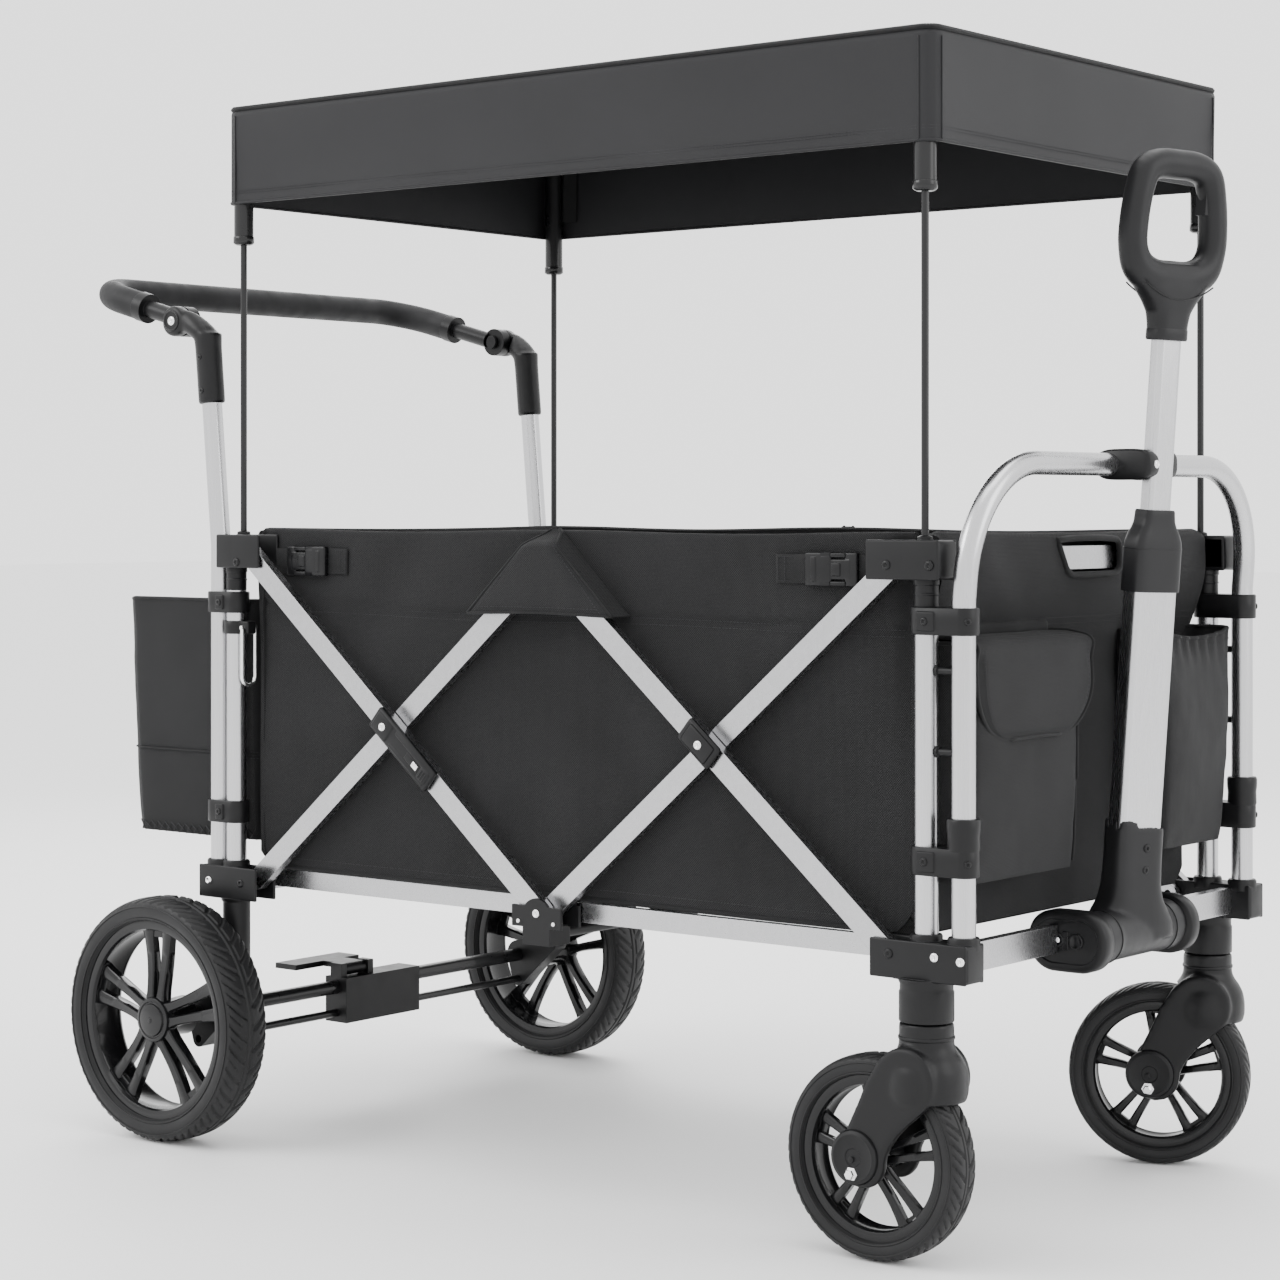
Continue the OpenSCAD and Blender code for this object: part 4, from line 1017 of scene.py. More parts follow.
def canopy():
    low, high = rel_box("canopy_roof")
    hx, hy = (high[0] - low[0]) / 2 - 1, high[1] - 1
    top, bottom = high[2] - 2, low[2] + 1.5
    r_plan, r_edge = 16, 7
    n_round = 360

    def outline(inset, k):
        ax, ay, r = hx - inset, hy - inset, max(1.5, r_plan - inset)
        length = 4 * (ax - r) + 4 * (ay - r) + 2 * math.pi * r
        return on_rounded_rectangle(ax, ay, r, length * k / n_round)

    def pull(x, y, t):
        """Inward draw of the hanging edge between the poles, t from 0 at the top to 1 at the hem."""
        mid_x, mid_y = max(0, 1 - (x / hx) ** 2), max(0, 1 - (y / hy) ** 2)
        along = mid_x if abs(abs(y) - hy) < 20 else mid_y
        return along * (3.5 * t + 2.5 * math.sin(math.pi * t))

    def drawn_in(x, y, p, z, near=2):
        """The point moved inwards by p across the side that it lies on."""
        nx = 1 if abs(abs(x) - hx) < near else 0
        ny = 1 if abs(abs(y) - hy) < near else 0
        return x - p * math.copysign(nx, x), y - p * math.copysign(ny, y), z

    rings = []
    for t in np.linspace(1, 0, 34):
        z = bottom + (top - r_edge - bottom) * (1 - t)
        ring = []
        for k in range(n_round):
            x, y = outline(0, k)
            ring.append(drawn_in(x, y, pull(x, y, t) + 1.6 * wobble(x * 0.006, y * 0.008, z * 0.01), z))
        rings.append(ring)
    for a in (30, 60, 90):
        inset = r_edge * (1 - math.cos(math.radians(a)))
        rings.append([(*outline(inset, k), top - r_edge + r_edge * math.sin(math.radians(a)))
                      for k in range(n_round)])
    for inset in (14, 30, 60, 100, 150, 210, 260, 290, 305):
        ring = []
        for k in range(n_round):
            x, y = outline(r_edge, k)
            f = 1 - inset / 311
            x, y = x - math.copysign(min(abs(x), inset), x), y * f
            sag = 6 * (1 - (x / hx) ** 2) * (1 - (y / hy) ** 2) * smooth_step(5, 120, inset)
            ring.append((x, y, top - sag))
        rings.append(ring)
    verts, faces = loft(rings, caps=False)
    verts = list(verts)
    last = (len(rings) - 1) * n_round
    faces.append(tuple(last + k for k in range(n_round)))
    outer = make("canopy_cloth", verts, faces, "roof", "rear_top", "canopy_fabric")
    solid = outer.modifiers.new("cloth", "SOLIDIFY")
    solid.thickness, solid.offset = 0.0012, -1

    def shrink(ob):
        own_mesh(ob)
        return ob

    apply(outer)
    outer.data.materials.append(MAT["roof_flat"])
    for p in outer.data.polygons:
        if abs(p.normal.z) > 0.7:
            p.material_index = 1
    sharp(outer, 60)
    shrink(outer)
    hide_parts("canopy_roof")
    rim = [(*outline(2.0, k), top - 0.5) for k in range(n_round)]
    piping = shrink(make("canopy_piping", *sweep(rim, 2.6, 8, closed=True),
                         "web", "rear_top", "canopy_fabric"))
    twist = []
    for k in range(0, n_round * 3):
        x, y = outline(2.0, k / 3)
        x2, y2 = outline(2.0, (k + 0.7) / 3)
        twist.append(sweep([(x, y, top + 1.9), (x2, y2, top + 2.3)], 0.9, 5))
    ribs = shrink(make("canopy_piping_overlock", *merge(twist), "thread", "rear_top", "canopy_fabric"))
    hem_lines = []
    for dz in (13, 16):
        line = []
        for k in range(n_round + 1):
            x, y = outline(-0.2, k % n_round)
            line.append(drawn_in(x, y, pull(x, y, 0.88), bottom + dz))
        hem_lines.append(stitches(line, 4.4, 3.0, 0.35))
    hem = shrink(make("canopy_hem_stitching", *merge(hem_lines), "thread", "rear_top", "canopy_fabric"))
    hem_roll = []
    for k in range(n_round):
        x, y = outline(0.5, k)
        hem_roll.append(drawn_in(x, y, pull(x, y, 1), bottom + 1.2, 3))
    roll = shrink(make("canopy_hem", *sweep(hem_roll, 1.9, 7, closed=True),
                       "roof", "rear_top", "canopy_fabric"))
    seams = []
    for sx in (-1, 1):
        for sy in (-1, 1):
            for x, y in ((sx * (hx - 17), sy * (hy + 0.5)), (sx * (hx + 0.5), sy * (hy - 17))):
                line = []
                for t in np.linspace(0.02, 1, 30):
                    p = pull(x, y, t)
                    on_x = abs(x) > hx
                    line.append((x - (math.copysign(p, x) if on_x else 0),
                                 y - (0 if on_x else math.copysign(p, y)),
                                 bottom + (top - r_edge - bottom) * (1 - t)))
                seams.append(sweep(line, 0.9, 6))
    seam = shrink(make("canopy_corner_seams", *merge(seams), "roof", "rear_top", "canopy_fabric"))
    patches = []
    for sx in (-1, 1):
        for sy in (-1, 1):
            lo = (min(sx * (hx - 7), sx * (hx - 52)), min(sy * (hy - 4), sy * (hy - 5.6)), bottom + 22)
            hi = (max(sx * (hx - 7), sx * (hx - 52)), max(sy * (hy - 4), sy * (hy - 5.6)), top - 12)
            patches.append(rounded(lo, hi, 0.7, 2))
    shrink(make("canopy_corner_patches", *merge(patches), "bag", "rear_top", "canopy_fabric"))


def apply(ob):
    """Turns the modifiers into the mesh."""
    bpy.context.view_layer.update()
    done = bpy.data.meshes.new_from_object(ob.evaluated_get(bpy.context.evaluated_depsgraph_get()))
    ob.modifiers.clear()
    ob.data = done
    done.polygons.foreach_set("use_smooth", [True] * len(done.polygons))


canopy()


# Wheels: treaded tyres and double-spoke rims

def tyre_mesh(name, centre, r, w, h, body, axis, grooves, segments, node):
    u, v, a = frame_of(axis)
    c = Vector(centre)
    prof = [(r - h, -w * 0.30), (r - h * 0.86, -w * 0.44), (r - h * 0.62, -w * 0.495),
            (r - h * 0.36, -w * 0.48),
            (r - h * 0.22, -w * 0.455)]
    n_tread = 31
    for k in range(n_tread):
        s = -1 + 2 * k / (n_tread - 1)
        prof.append((r - h * 0.16 * abs(s) ** 3.2, s * w * 0.44))
    prof += [(p[0], -p[1]) for p in reversed(prof[:5])]
    prof += [(r - h - 2, w * 0.28), (r - h - 2, -w * 0.28)]
    m = len(prof)
    verts = []
    for i in range(segments):
        t = 2 * math.pi * i / segments
        for k, (rad, off) in enumerate(prof):
            s = off / (w * 0.44)
            cut = 0.0
            if 5 <= k < 5 + n_tread:
                phase = t * grooves / (2 * math.pi) + 0.85 * abs(s) ** 1.6 + (0.5 if s > 0 else 0)
                f = abs((phase % 1) - 0.5)
                cut = 2.3 * smooth_step(0.13, 0.07, f) * smooth_step(0.1, 0.2, abs(s))
                f2 = abs(((phase + 0.5) % 1) - 0.5)
                cut = max(cut, 1.5 * smooth_step(0.08, 0.04, f2) * smooth_step(0.45, 0.55, abs(s)))
                cut = max(cut, 1.6 * smooth_step(0.05, 0.02, abs(abs(s) - 0.12)))
            verts.append(c + (u * math.cos(t) + v * math.sin(t)) * (rad - cut) + a * off)
    ob = make(name, verts, grid_faces(segments, m, True, True), "tyre", body, "tyre")
    sharp(ob, 38)
    rings = []
    for side in (-1, 1):
        for rad, rr in ((r - h * 0.34, 0.9), (r - h * 0.80, 1.1)):
            off = side * (w * 0.481 if rad > r - h * 0.5 else w * 0.462)
            rings.append(sweep([c + (u * math.cos(t) + v * math.sin(t)) * rad + a * off
                                for t in angles(96)], rr, 6, closed=True))
    make(name + "_side_ribs", *merge(rings), "tyre", body, "tyre")
    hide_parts(node)
    return ob


def rim_mesh(name, centre, r, w, hub_r, hub_w, body, axis, side, node):
    """side is the direction along axis that faces outwards."""
    u, v, a = frame_of(axis)
    a = a * side
    c = Vector(centre)
    lip = 4.5
    ring = [(r + 2.6, -w / 2), (r + 2.8, -w / 2 + 2), (r - 1, -w / 2 + 3), (r - 2, -w / 2 + 6),
            (r - 2, w / 2 - 6),
            (r - 1, w / 2 - 3), (r + 2.8, w / 2 - 2), (r + 2.6, w / 2), (r - 2, w / 2 + 0.6),
            (r - lip - 3, w / 2 - 1),
            (r - lip - 5, w / 2 - 5), (r - lip - 3.5, w / 2 - 8), (r - lip - 2.5, 0),
            (r - lip - 3.5, -w / 2 + 8),
            (r - lip - 5, -w / 2 + 5), (r - lip - 3, -w / 2 + 1), (r - 2, -w / 2 - 0.6)]
    n = 120
    verts = []
    for i in range(n):
        t = 2 * math.pi * i / n
        verts += [c + (u * math.cos(t) + v * math.sin(t)) * p + a * q for p, q in ring]
    parts = [(verts, grid_faces(n, len(ring), True, True))]
    k = r / 119
    depth0, depth1 = hub_w * 0.5 - 9 * k, w / 2 - 8
    for i in range(5):
        base = 2 * math.pi * (i / 5) + math.radians(18)
        for s in (-1, 1):
            rings = []
            stations = 14
            for q in range(stations):
                f = q / (stations - 1)
                rad = hub_r * 0.78 + (r - lip - 2 - hub_r * 0.78) * f
                gap = (8.8 + 9.0 * f ** 1.5) * k * s
                half = (5.6 + 2.8 * f ** 2 + 2.2 * smooth_step(0.85, 1, f)
                        + 1.5 * smooth_step(0.2, 0, f)) * k
                out = depth0 + (depth1 - depth0) * f - 3 * k * math.sin(math.pi * f)
                thick = (17 - 4 * f) * k
                d = u * math.cos(base) + v * math.sin(base)
                e = a.cross(d)
                sec = [(-1, 0.12), (-0.72, 0), (0.72, 0), (1, 0.12), (1, 0.8), (0.6, 1), (-0.6, 1),
                       (-1, 0.8)]
                rings.append([c + d * rad + e * (gap + p * half) + a * (out - z * thick) for p, z in sec])
            parts.append(loft(rings))
        web = []
        for q in range(4):
            f = q / 3
            rad = r - lip - 14 * k + (11 * k) * f
            d = u * math.cos(base) + v * math.sin(base)
            e = a.cross(d)
            width = (14 + 4 * f) * k
            web.append([c + d * rad + e * x * width + a * z for x,
                        z in ((-1, depth1 - 3), (1, depth1 - 3), (1, depth1 - 9), (-1, depth1 - 9))])
        parts.append(loft(web))
    hub = [(5, -hub_w / 2), (hub_r * 0.8, -hub_w / 2), (hub_r * 0.92, -hub_w / 2 + 2), (hub_r * 0.86, -4),
           (hub_r * 1.0, depth0 - 17 * k),
           (hub_r * 1.08, depth0 - 12 * k), (hub_r * 1.08, depth0 - 1), (hub_r * 1.02, depth0 + 2.4),
           (hub_r * 0.88, depth0 + 3.4),
           (hub_r * 0.84, depth0 + 2.2), (hub_r * 0.78, depth0 + 2.2), (hub_r * 0.74, depth0 + 4.6),
           (hub_r * 0.6, depth0 + 5.6),
           (0, depth0 + 6.2)]
    parts.append(lathe(hub, c, a, 48))
    ob = make(name, *merge(parts), "rim", body, "rim_plastic")
    sharp(ob, 42)
    if hub_r > 20:
        make(name + "_cap_rivet", *screw(c + a * (depth0 + 5.5), a, 3.6, 1.6, hexed=False), "rim", body,
             "rim_plastic")
    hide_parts(node)
    return ob


def node_centre(node):
    low, high = rel_box(node)
    return [(p + q) / 2 for p, q in zip(low, high)]


for tag, s in (("right", -1), ("left", 1)):
    c = node_centre("rear_tyre_" + tag)
    tyre_mesh("rear_tread_" + tag, c, 150, 66, 31, "rear_wheel_" + tag, (0, 1, 0), 34, 816,
              "rear_tyre_" + tag)
    rim_mesh("rear_spokes_" + tag, c, 119, 50, 26, 62, "rear_wheel_" + tag, (0, 1, 0), s, "rear_rim_" + tag)
    c = node_centre("front_tyre_" + tag)
    turn = math.radians(21) if s > 0 else 0.0
    axis = (-math.sin(turn), math.cos(turn), 0)
    tyre_mesh("front_tread_" + tag, c, 107, 46, 23, "front_wheel_" + tag, axis, 28, 672,
              "front_tyre_" + tag)
    rim_mesh("front_spokes_" + tag, c, 84, 34, 17, 48, "front_wheel_" + tag, axis, s, "front_rim_" + tag)


# Caster forks: bulbous shoulders that sweep down to a round cover over the axle

def fork(tag, s):
    turn = math.radians(21) if s > 0 else 0.0
    place = Matrix.Translation((END, s * POST_Y, 0)) @ Matrix.Rotation(turn, 4, "Z")
    trail, axle_z = 57, 107
    neck = [(0, 214), (28.5, 214), (28.5, 252.4), (0, 252.4)]
    dome = [(0, 172), (41, 172), (43.5, 182), (43.5, 194), (41.5, 206), (36.5, 216), (31, 223),
            (28.5, 230), (0, 230)]
    parts = [lathe(neck, (0, 0, 0), (0, 0, 1), 40), lathe(dome, (0, 0, 0), (0, 0, 1), 48)]
    outline = [(-trail, axle_z, 28), (-54, 122, 27), (-45, 140, 27), (-34, 158, 29), (-22, 175, 33),
               (-9, 190, 36), (0, 198, 36)]
    for y in (-1, 1):
        for (x0, z0, r0), (x1, z1, r1) in zip(outline, outline[1:]):
            for f in (0, 0.5):
                x, z, r = x0 + (x1 - x0) * f, z0 + (z1 - z0) * f, r0 + (r1 - r0) * f
                parts.append(lathe([(0, -6), (r - 2, -6), (r, -4), (r, 4), (r - 3, 6.5), (0, 6.5)],
                                   (x, y * 32, z), (0, y, 0), 32))
    parts = [turned(p, place) for p in parts]
    room = [(0, -25.4), (110.5, -25.4), (110.5, 25.4), (0, 25.4)]
    cut = [turned(lathe(room, (-trail, 0, axle_z), (0, 1, 0), 72), place)]
    organic("caster_fork_shell_" + tag, parts, cut, 2.4, 5, "bracket", "caster_" + tag,
            ["caster_fork_" + tag])
    detail = []
    for y in (-1, 1):
        cover = [(0, -1), (28.5, -1), (29, 1.5), (27.5, 4.5), (24, 6), (22.5, 5.2), (10, 5.2), (9, 4),
                 (0, 4)]
        detail.append(turned(lathe(cover, (-trail - 6, y * 37, axle_z + 4), (0, y, 0), 44), place))
        cap = [(0, 4), (3.4, 4), (3.2, 6.2), (0, 6.6)]
        detail.append(turned(lathe(cap, (-trail - 8, y * 37, axle_z + 2), (0, y, 0), 18), place))
    sharp(make("caster_hub_covers_" + tag, *merge(detail), "bracket", "caster_" + tag, "bracket_plastic"))
    bolts = []
    for y in (-1, 1):
        bolt = [(0, 0), (7.5, 0), (7.5, 2), (5.4, 2), (5.2, 7), (4, 8), (0, 8)]
        bolts.append(turned(lathe(bolt, (-trail - 8, y * 40.5, axle_z - 13), (0, y, 0), 6), place))
    sharp(make("caster_axle_nuts_" + tag, *merge(bolts), "chrome", "caster_" + tag, "bright_steel"), 30)
    seal = [(28.7, 235), (29.4, 236), (29.4, 238), (28.7, 239)]
    make("caster_collar_ring_" + tag,
         *turned(lathe([(20, 234)] + seal + [(20, 240)], (0, 0, 0), (0, 0, 1), 48), place), "bracket",
         "caster_" + tag, "bracket_plastic")


for tag, s in (("right", -1), ("left", 1)):
    fork(tag, s)


# Pull handle: shapes round the stem's own axes, x across its thickness, y across its width

STEM_X, STEM_Z = END + 63, 317
STEM = (Matrix.Translation((STEM_X, 0, STEM_Z)) @ Matrix.Rotation(math.radians(4.2), 4, "Y")
        @ Matrix.Rotation(math.radians(-20), 4, "Z"))


def oval(x, y, z, hx, hy, power=2.6, n=40):
    ring = []
    for k in range(n):
        a = 2 * math.pi * k / n
        c, s = math.cos(a), math.sin(a)
        ring.append((x + hx * signed_power(c, 2 / power), y + hy * signed_power(s, 2 / power), z))
    return ring


def grip():
    path = [(0, 713), (26, 714), (46, 724), (55.5, 745), (56, 772), (52, 802), (44, 826), (26, 835),
            (0, 836)]
    path += [(-y, z) for y, z in path[-2:0:-1]]
    pts = [Vector((0, y, z)) for y, z in path]
    smooth = []
    n = len(pts)
    for i in range(n):
        p0, p1, p2, p3 = pts[i - 1], pts[i], pts[(i + 1) % n], pts[(i + 2) % n]
        for t in (0, 0.25, 0.5, 0.75):
            smooth.append(0.5 * (2 * p1 + (p2 - p0) * t + (2 * p0 - 5 * p1 + 4 * p2 - p3) * t * t
                                 + (3 * p1 - p0 - 3 * p2 + p3) * t ** 3))
    rings = []
    m = len(smooth)
    for i, p in enumerate(smooth):
        t = (smooth[(i + 1) % m] - smooth[i - 1]).normalized()
        side = Vector((1, 0, 0))
        out = t.cross(side)
        low = smooth_step(745, 715, p.z)
        top = smooth_step(800, 830, p.z)
        across, thick = 15.5 + 4 * low + 1.0 * top, 16.5 + 1.5 * low
        rings.append([p + side * math.cos(a) * thick + out * math.sin(a) * across
                      for a in angles(24)])
    neck = [oval(0, 0, z, hx, hy, 3.2) for z, hx, hy in
            ((654, 15.5, 22), (664, 16, 22.5), (676, 16.5, 25), (688, 17.5, 33), (700, 18, 44),
             (712, 18, 51), (722, 17, 52),
             (729, 14, 46))]
    parts = [turned(loft(rings, closed=True), STEM), turned(loft(neck), STEM)]
    organic("grip_shell", parts, [], 2.0, 8, "grip", "stem", ["handle_grip"])
    crease = []
    for y in np.linspace(-47, 47, 30):
        z = 690 + 16 * (y / 47) ** 2
        crease.append((17.4 - 0.8 * (y / 47) ** 2, y, z))
    ridge = [turned(sweep(crease, 0.9, 6), STEM),
             turned(sweep([(-x, y, z) for x, y, z in crease], 0.9, 6), STEM)]
    make("grip_overmould_edge", *merge(ridge), "bracket", "stem", "grip_plastic")
    collar = [oval(0, 0, z, hx, hy, 3.2, 48) for z, hx, hy in
              ((646, 12.6, 18.6), (646, 15.4, 21.6), (648, 16.2, 22.4), (657, 16.2, 22.4),
               (659, 15.6, 21.8))]
    sharp(make("grip_ferrule", *turned(loft(collar), STEM), "grip", "stem", "grip_plastic"))


grip()


def collar():
    outer = [(373, 16.0, 31.4), (373, 16.6, 32.2), (375, 17.0, 32.6), (420, 17.0, 32.6),
             (428, 16.7, 31.8), (436, 15.9, 28.6),
             (443, 15.0, 24.2), (449, 14.6, 21.6), (456, 14.4, 20.8), (460, 14.3, 20.6),
             (462, 13.6, 19.8), (462, 11.2, 17.0)]
    inner = [(430, 11.2, 17.0), (373, 14.8, 30.8)]
    rings = [oval(0, 0, z, hx, hy, 4.6, 64) for z, hx, hy in outer + inner]
    ob = make("stem_collar", *turned(loft(rings, closed=True), STEM), "grip", "pull_handle", "grip_plastic")
    sharp(ob, 50)
    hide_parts("handle_collar")
    band = [oval(0, 0, z, hx, hy, 4.6, 64) for z, hx, hy in ((419, 16.6, 32.2), (419.6, 17.3, 33.0),
                                                             (420.4, 17.3, 33.0), (421, 16.6, 32.2))]
    make("stem_collar_line", *turned(loft(band), STEM), "bracket", "pull_handle", "grip_plastic")


collar()


def boot():
    half = [(0, 84.4), (26, 84.4), (28.4, 82), (28.6, 60), (27.4, 52)]
    barrel = lathe([(r, -y) for r, y in half] + half[::-1], (STEM_X, 0, STEM_Z), (0, 1, 0), 48)
    shoulder = [(-6, 22, 60, 3), (10, 24, 56, 3), (24, 24, 47, 3), (36, 22.5, 38, 3.4), (50, 20, 34, 4),
                (70, 18.2, 33, 4.6), (112, 17.6, 32.8, 4.6), (116, 17.2, 32.4, 4.6)]
    rise = [oval(0, 0, z, hx, hy, power) for z, hx, hy, power in shoulder]
    ear = [oval(-1, -18, z, 17.4, 14, 3.4) for z in (100, 118, 122, 124)]
    parts = [barrel, turned(loft(rise), STEM), turned(loft(ear), STEM)]
    bore = turned(loft([oval(0, 0, z, 14.2, 30.4, 4.6) for z in (60, 140)]), STEM)
    organic("boot_shell", parts, [bore], 2.2, 6, "grip", "pull_handle", ["handle_boot"])
    fix = []
    for z in (70, 94):
        fix.append(turned(screw((17.6, 4, z), (1, 0, 0), 4.6, 1.8), STEM))
        fix.append(turned(screw((-17.6, 4, z), (-1, 0, 0), 4.6, 1.8), STEM))
    make("boot_screws", *merge(fix), "bracket", "pull_handle", "bracket_plastic")
    rings = []
    for y in (-60.5, 60.5):
        rings.append(sweep([(STEM_X + 28.5 * math.cos(a), y, STEM_Z + 28.5 * math.sin(a))
                            for a in angles(60)], 0.8, 6, closed=True))
    make("boot_barrel_lines", *merge(rings), "bracket", "pull_handle", "bracket_plastic")


boot()


MOUNT_EDGE = [(85.3, -1.5), (87, 0), (103, 0), (105.5, -1.6), (106.5, -4.5), (106.5, -9), (105.2, -10),
              (105.2, -20)]


def mount_caps():
    """Housings that carry the handle's pivot pin at both ends of its barrel."""
    parts, dark, bright = [], [], []
    for s in (-1, 1):
        rings = []
        for y, grow in MOUNT_EDGE:
            ring = []
            r = 33 + grow
            for a in angles(56):
                c, sn = math.cos(a), math.sin(a)
                x = STEM_X - 15 + (15 if c > 0 else -15) + r * c if abs(c) > 1e-9 else STEM_X - 15
                z = STEM_Z - 1 + r * signed_power(sn, 0.9)
                ring.append((x, s * y, z))
            rings.append(ring)
        parts.append(loft(rings))
        for dx, r in ((-26, 7.5), (-3, 8.5)):
            rim = [(r, -0.5), (r, 1.4), (r - 1.6, 1.8), (r - 2.4, 0.2), (0, 0.1)]
            dark.append(lathe(rim, (STEM_X + dx, s * 105.4, STEM_Z), (0, s, 0), 28))
        dark.append(bracket_box(STEM_X - 20, STEM_X - 12, s * 104, s * 106.6, STEM_Z - 10, STEM_Z + 10,
                                1.2, 3))
        rivet = [(0, 0), (3.6, 0), (3.6, 1.4), (2.2, 2.2), (0, 2.2)]
        bright.append(lathe(rivet, (STEM_X - 26, s * 105.3, STEM_Z), (0, s, 0), 20))
    ob = make("handle_pivot_caps", *merge(parts), "bracket", "front_frame", "bracket_plastic")
    sharp(ob, 50)
    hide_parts("handle_mount")
    make("handle_pivot_recesses", *merge(dark), "buckle", "front_frame", "bracket_plastic")
    make("handle_pivot_rivets", *merge(bright), "chrome", "front_frame", "bright_steel")
    pin = lathe([(8, -100), (8, 100)], (STEM_X, 0, STEM_Z), (0, 1, 0), 24)
    make("handle_pivot_pin", *pin, "tube", "front_frame", "bright_steel")


mount_caps()


# Brackets: rounded mouldings round the posts

def top_brackets(name, end, back, body, node):
    parts = []
    for s in (-1, 1):
        x = end * END
        pivot = end * (END - PIVOT_IN)
        parts.append(bracket_box(x - end * 17, x + end * back, s * PLATES[0], s * 326, 706.5, 746.5, 4))
        for y in PLATES:
            far = x + end * (back - 1)
            parts.append(bracket_box(pivot - end * 22, far, s * y, s * (y + PLATE_T), *TOP_BLOCK, 1.8))
        sleeve = [(10.6, 433), (10.6, 677), (12.5, 678.4), (12.5, 700), (13.4, 701), (13.4, 707), (9, 707)]
        parts.append(lathe(sleeve, (x, s * POST_Y, 0), (0, 0, 1), 40))
        ridge = [(12.4, 690), (13.1, 690.5), (13.1, 692), (12.4, 692.5)]
        parts.append(lathe(ridge, (x, s * POST_Y, 0), (0, 0, 1), 40))
        cap = [(3, 745), (8.4, 745), (8, 750), (5, 751.5), (4.6, 751.5)]
        parts.append(lathe(cap, (x - end * POLE_IN, s * POLE_Y, 0), (0, 0, 1), 24))
    ob = make(name, *merge(parts), "bracket", body, "bracket_plastic")
    sharp(ob, 35)
    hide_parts(node)


top_brackets("front_top_mouldings", 1, 29, "front_top", "front_top_brackets")
top_brackets("rear_top_mouldings", -1, 14.5, "rear_top", "rear_top_brackets")


def bottom_brackets(name, end, gap, body, node, caster):
    parts = []
    for s in (-1, 1):
        x, x2 = end * END, end * (END + gap)
        pivot = end * (END - PIVOT_IN)
        parts.append(bracket_box(x - end * 19, x2 + end * 17, s * 291, s * 325.8, 297.5, 336.5, 4))
        for y in PLATES:
            far = x2 + end * 16
            parts.append(bracket_box(pivot - end * 17, far, s * y, s * (y + PLATE_T), *LOW_BLOCK, 1.8))
        collar_ring = [(12.4, 330), (16.8, 330), (16.8, 341), (15.6, 343), (12.6, 343.4)]
        for c in (x, x2):
            parts.append(lathe(collar_ring, (c, s * POST_Y, 0), (0, 0, 1), 40))
        if caster:
            seat = [(9, 253.6), (28.2, 253.6), (28.6, 255), (28.6, 284), (27.6, 286), (27.6, 292),
                    (29.5, 296)]
            parts.append(lathe(seat + [(30, 298), (9, 298)], (x, s * POST_Y, 0), (0, 0, 1), 56))
            parts.append(bracket_box(x - 31, x + 31, s * 288, s * 326, 296, 304, 4))
        else:
            foot = [(9, 298), (19, 298), (19, 294), (17.6, 292), (9, 292)]
            parts.append(lathe(foot, (x, s * POST_Y, 0), (0, 0, 1), 48))
    ob = make(name, *merge(parts), "bracket", body, "bracket_plastic")
    sharp(ob, 35)
    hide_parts(node)


bottom_brackets("front_bottom_mouldings", 1, FRONT_PAIR, "front_frame", "front_bottom_brackets", True)
bottom_brackets("rear_bottom_mouldings", -1, REAR_PAIR, "root", "rear_bottom_brackets", False)


# Clips: bands round the tube pairs

def clip_band(x, x2, s, z, h, r=16.2):
    """A band round two tubes, rounded at its edges."""
    rings = []
    a0, a1 = min(x, x2), max(x, x2)
    for dz, grow in ((0, -3.4), (0, -1.0), (1.2, 0), (h - 1.2, 0), (h, -1.0), (h, -3.4)):
        ring = []
        rr = r + grow
        for a in angles(48):
            px = (a1 if math.cos(a) > 0 else a0) + rr * math.cos(a)
            ring.append((px, s * POST_Y + rr * math.sin(a), z + dz))
        rings.append(ring)
    return loft(rings)


def clips():
    rear, front, screws = [], [], []
    for s in (-1, 1):
        for z, h in ((650, 26), (390, 27)):
            rear.append(clip_band(-END, -END - REAR_PAIR, s, z, h))
            rear.append(bracket_box(-END - 20, -END - 6, s * 318, s * 322.5, z + 4, z + h - 4, 1.6))
            screws.append(("root", screw((-END - 13, s * 322.5, z + h / 2), (0, s, 0), 4.2, 1.6)))
        for z, h in ((650, 28), (404, 29)):
            front.append(clip_band(END, END + FRONT_PAIR, s, z, h))
            front.append(bracket_box(END - 2, END + 20, s * 318, s * 322, z + 4, z + h - 4, 1.6))
            screws.append(("front_frame", screw((END + 8, s * 322, z + h / 2), (0, s, 0), 4.4, 1.6)))
            screws.append(("front_frame", screw((END + 45 + 12, s * (POST_Y + 11.5), z + h / 2),
                                                (0.7, s * 0.72, 0), 3.6, 1.4)))
        sleeve = [(12.5, 431), (16.4, 431), (17.0, 433), (16.6, 446), (17.4, 452), (17.6, 461),
                  (16.4, 463.4), (12.6, 464)]
        front.append(lathe(sleeve, (END + 45, s * POST_Y, 0), (0, 0, 1), 44))
        for z in (530, 613):
            front.append(lathe([(4, 0), (4, 20), (0, 20)], (END + 12.5, s * POST_Y, z), (1, 0, 0), 20))
            front.append(lathe([(4, 0), (6, 0.5), (6, 3.5), (4, 4)], (END + 12.0, s * POST_Y, z),
                               (1, 0, 0), 20))
    band = clip_band(-END, -END, -1, 624, 16, 15.6)
    rear.append(band)
    rear.append(rounded((-END + 12, -312.5, 624), (-END + 28.5, -297.5, 640), 2.2))
    ob = sharp(make("rear_clip_bands", *merge(rear), "bracket", "root", "bracket_plastic"), 40)
    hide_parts("rear_clips")
    ob = sharp(make("front_clip_bands", *merge(front), "bracket", "front_frame", "bracket_plastic"), 40)
    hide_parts("front_clips")
    for body in ("root", "front_frame"):
        make("clip_screws_" + body, *merge([p for b, p in screws if b == body]), "buckle", body,
             "bracket_plastic")


clips()


# Screws and rivets on the outer faces

# Body, x, z, the face's distance from the centre plane, and the kind of fastener

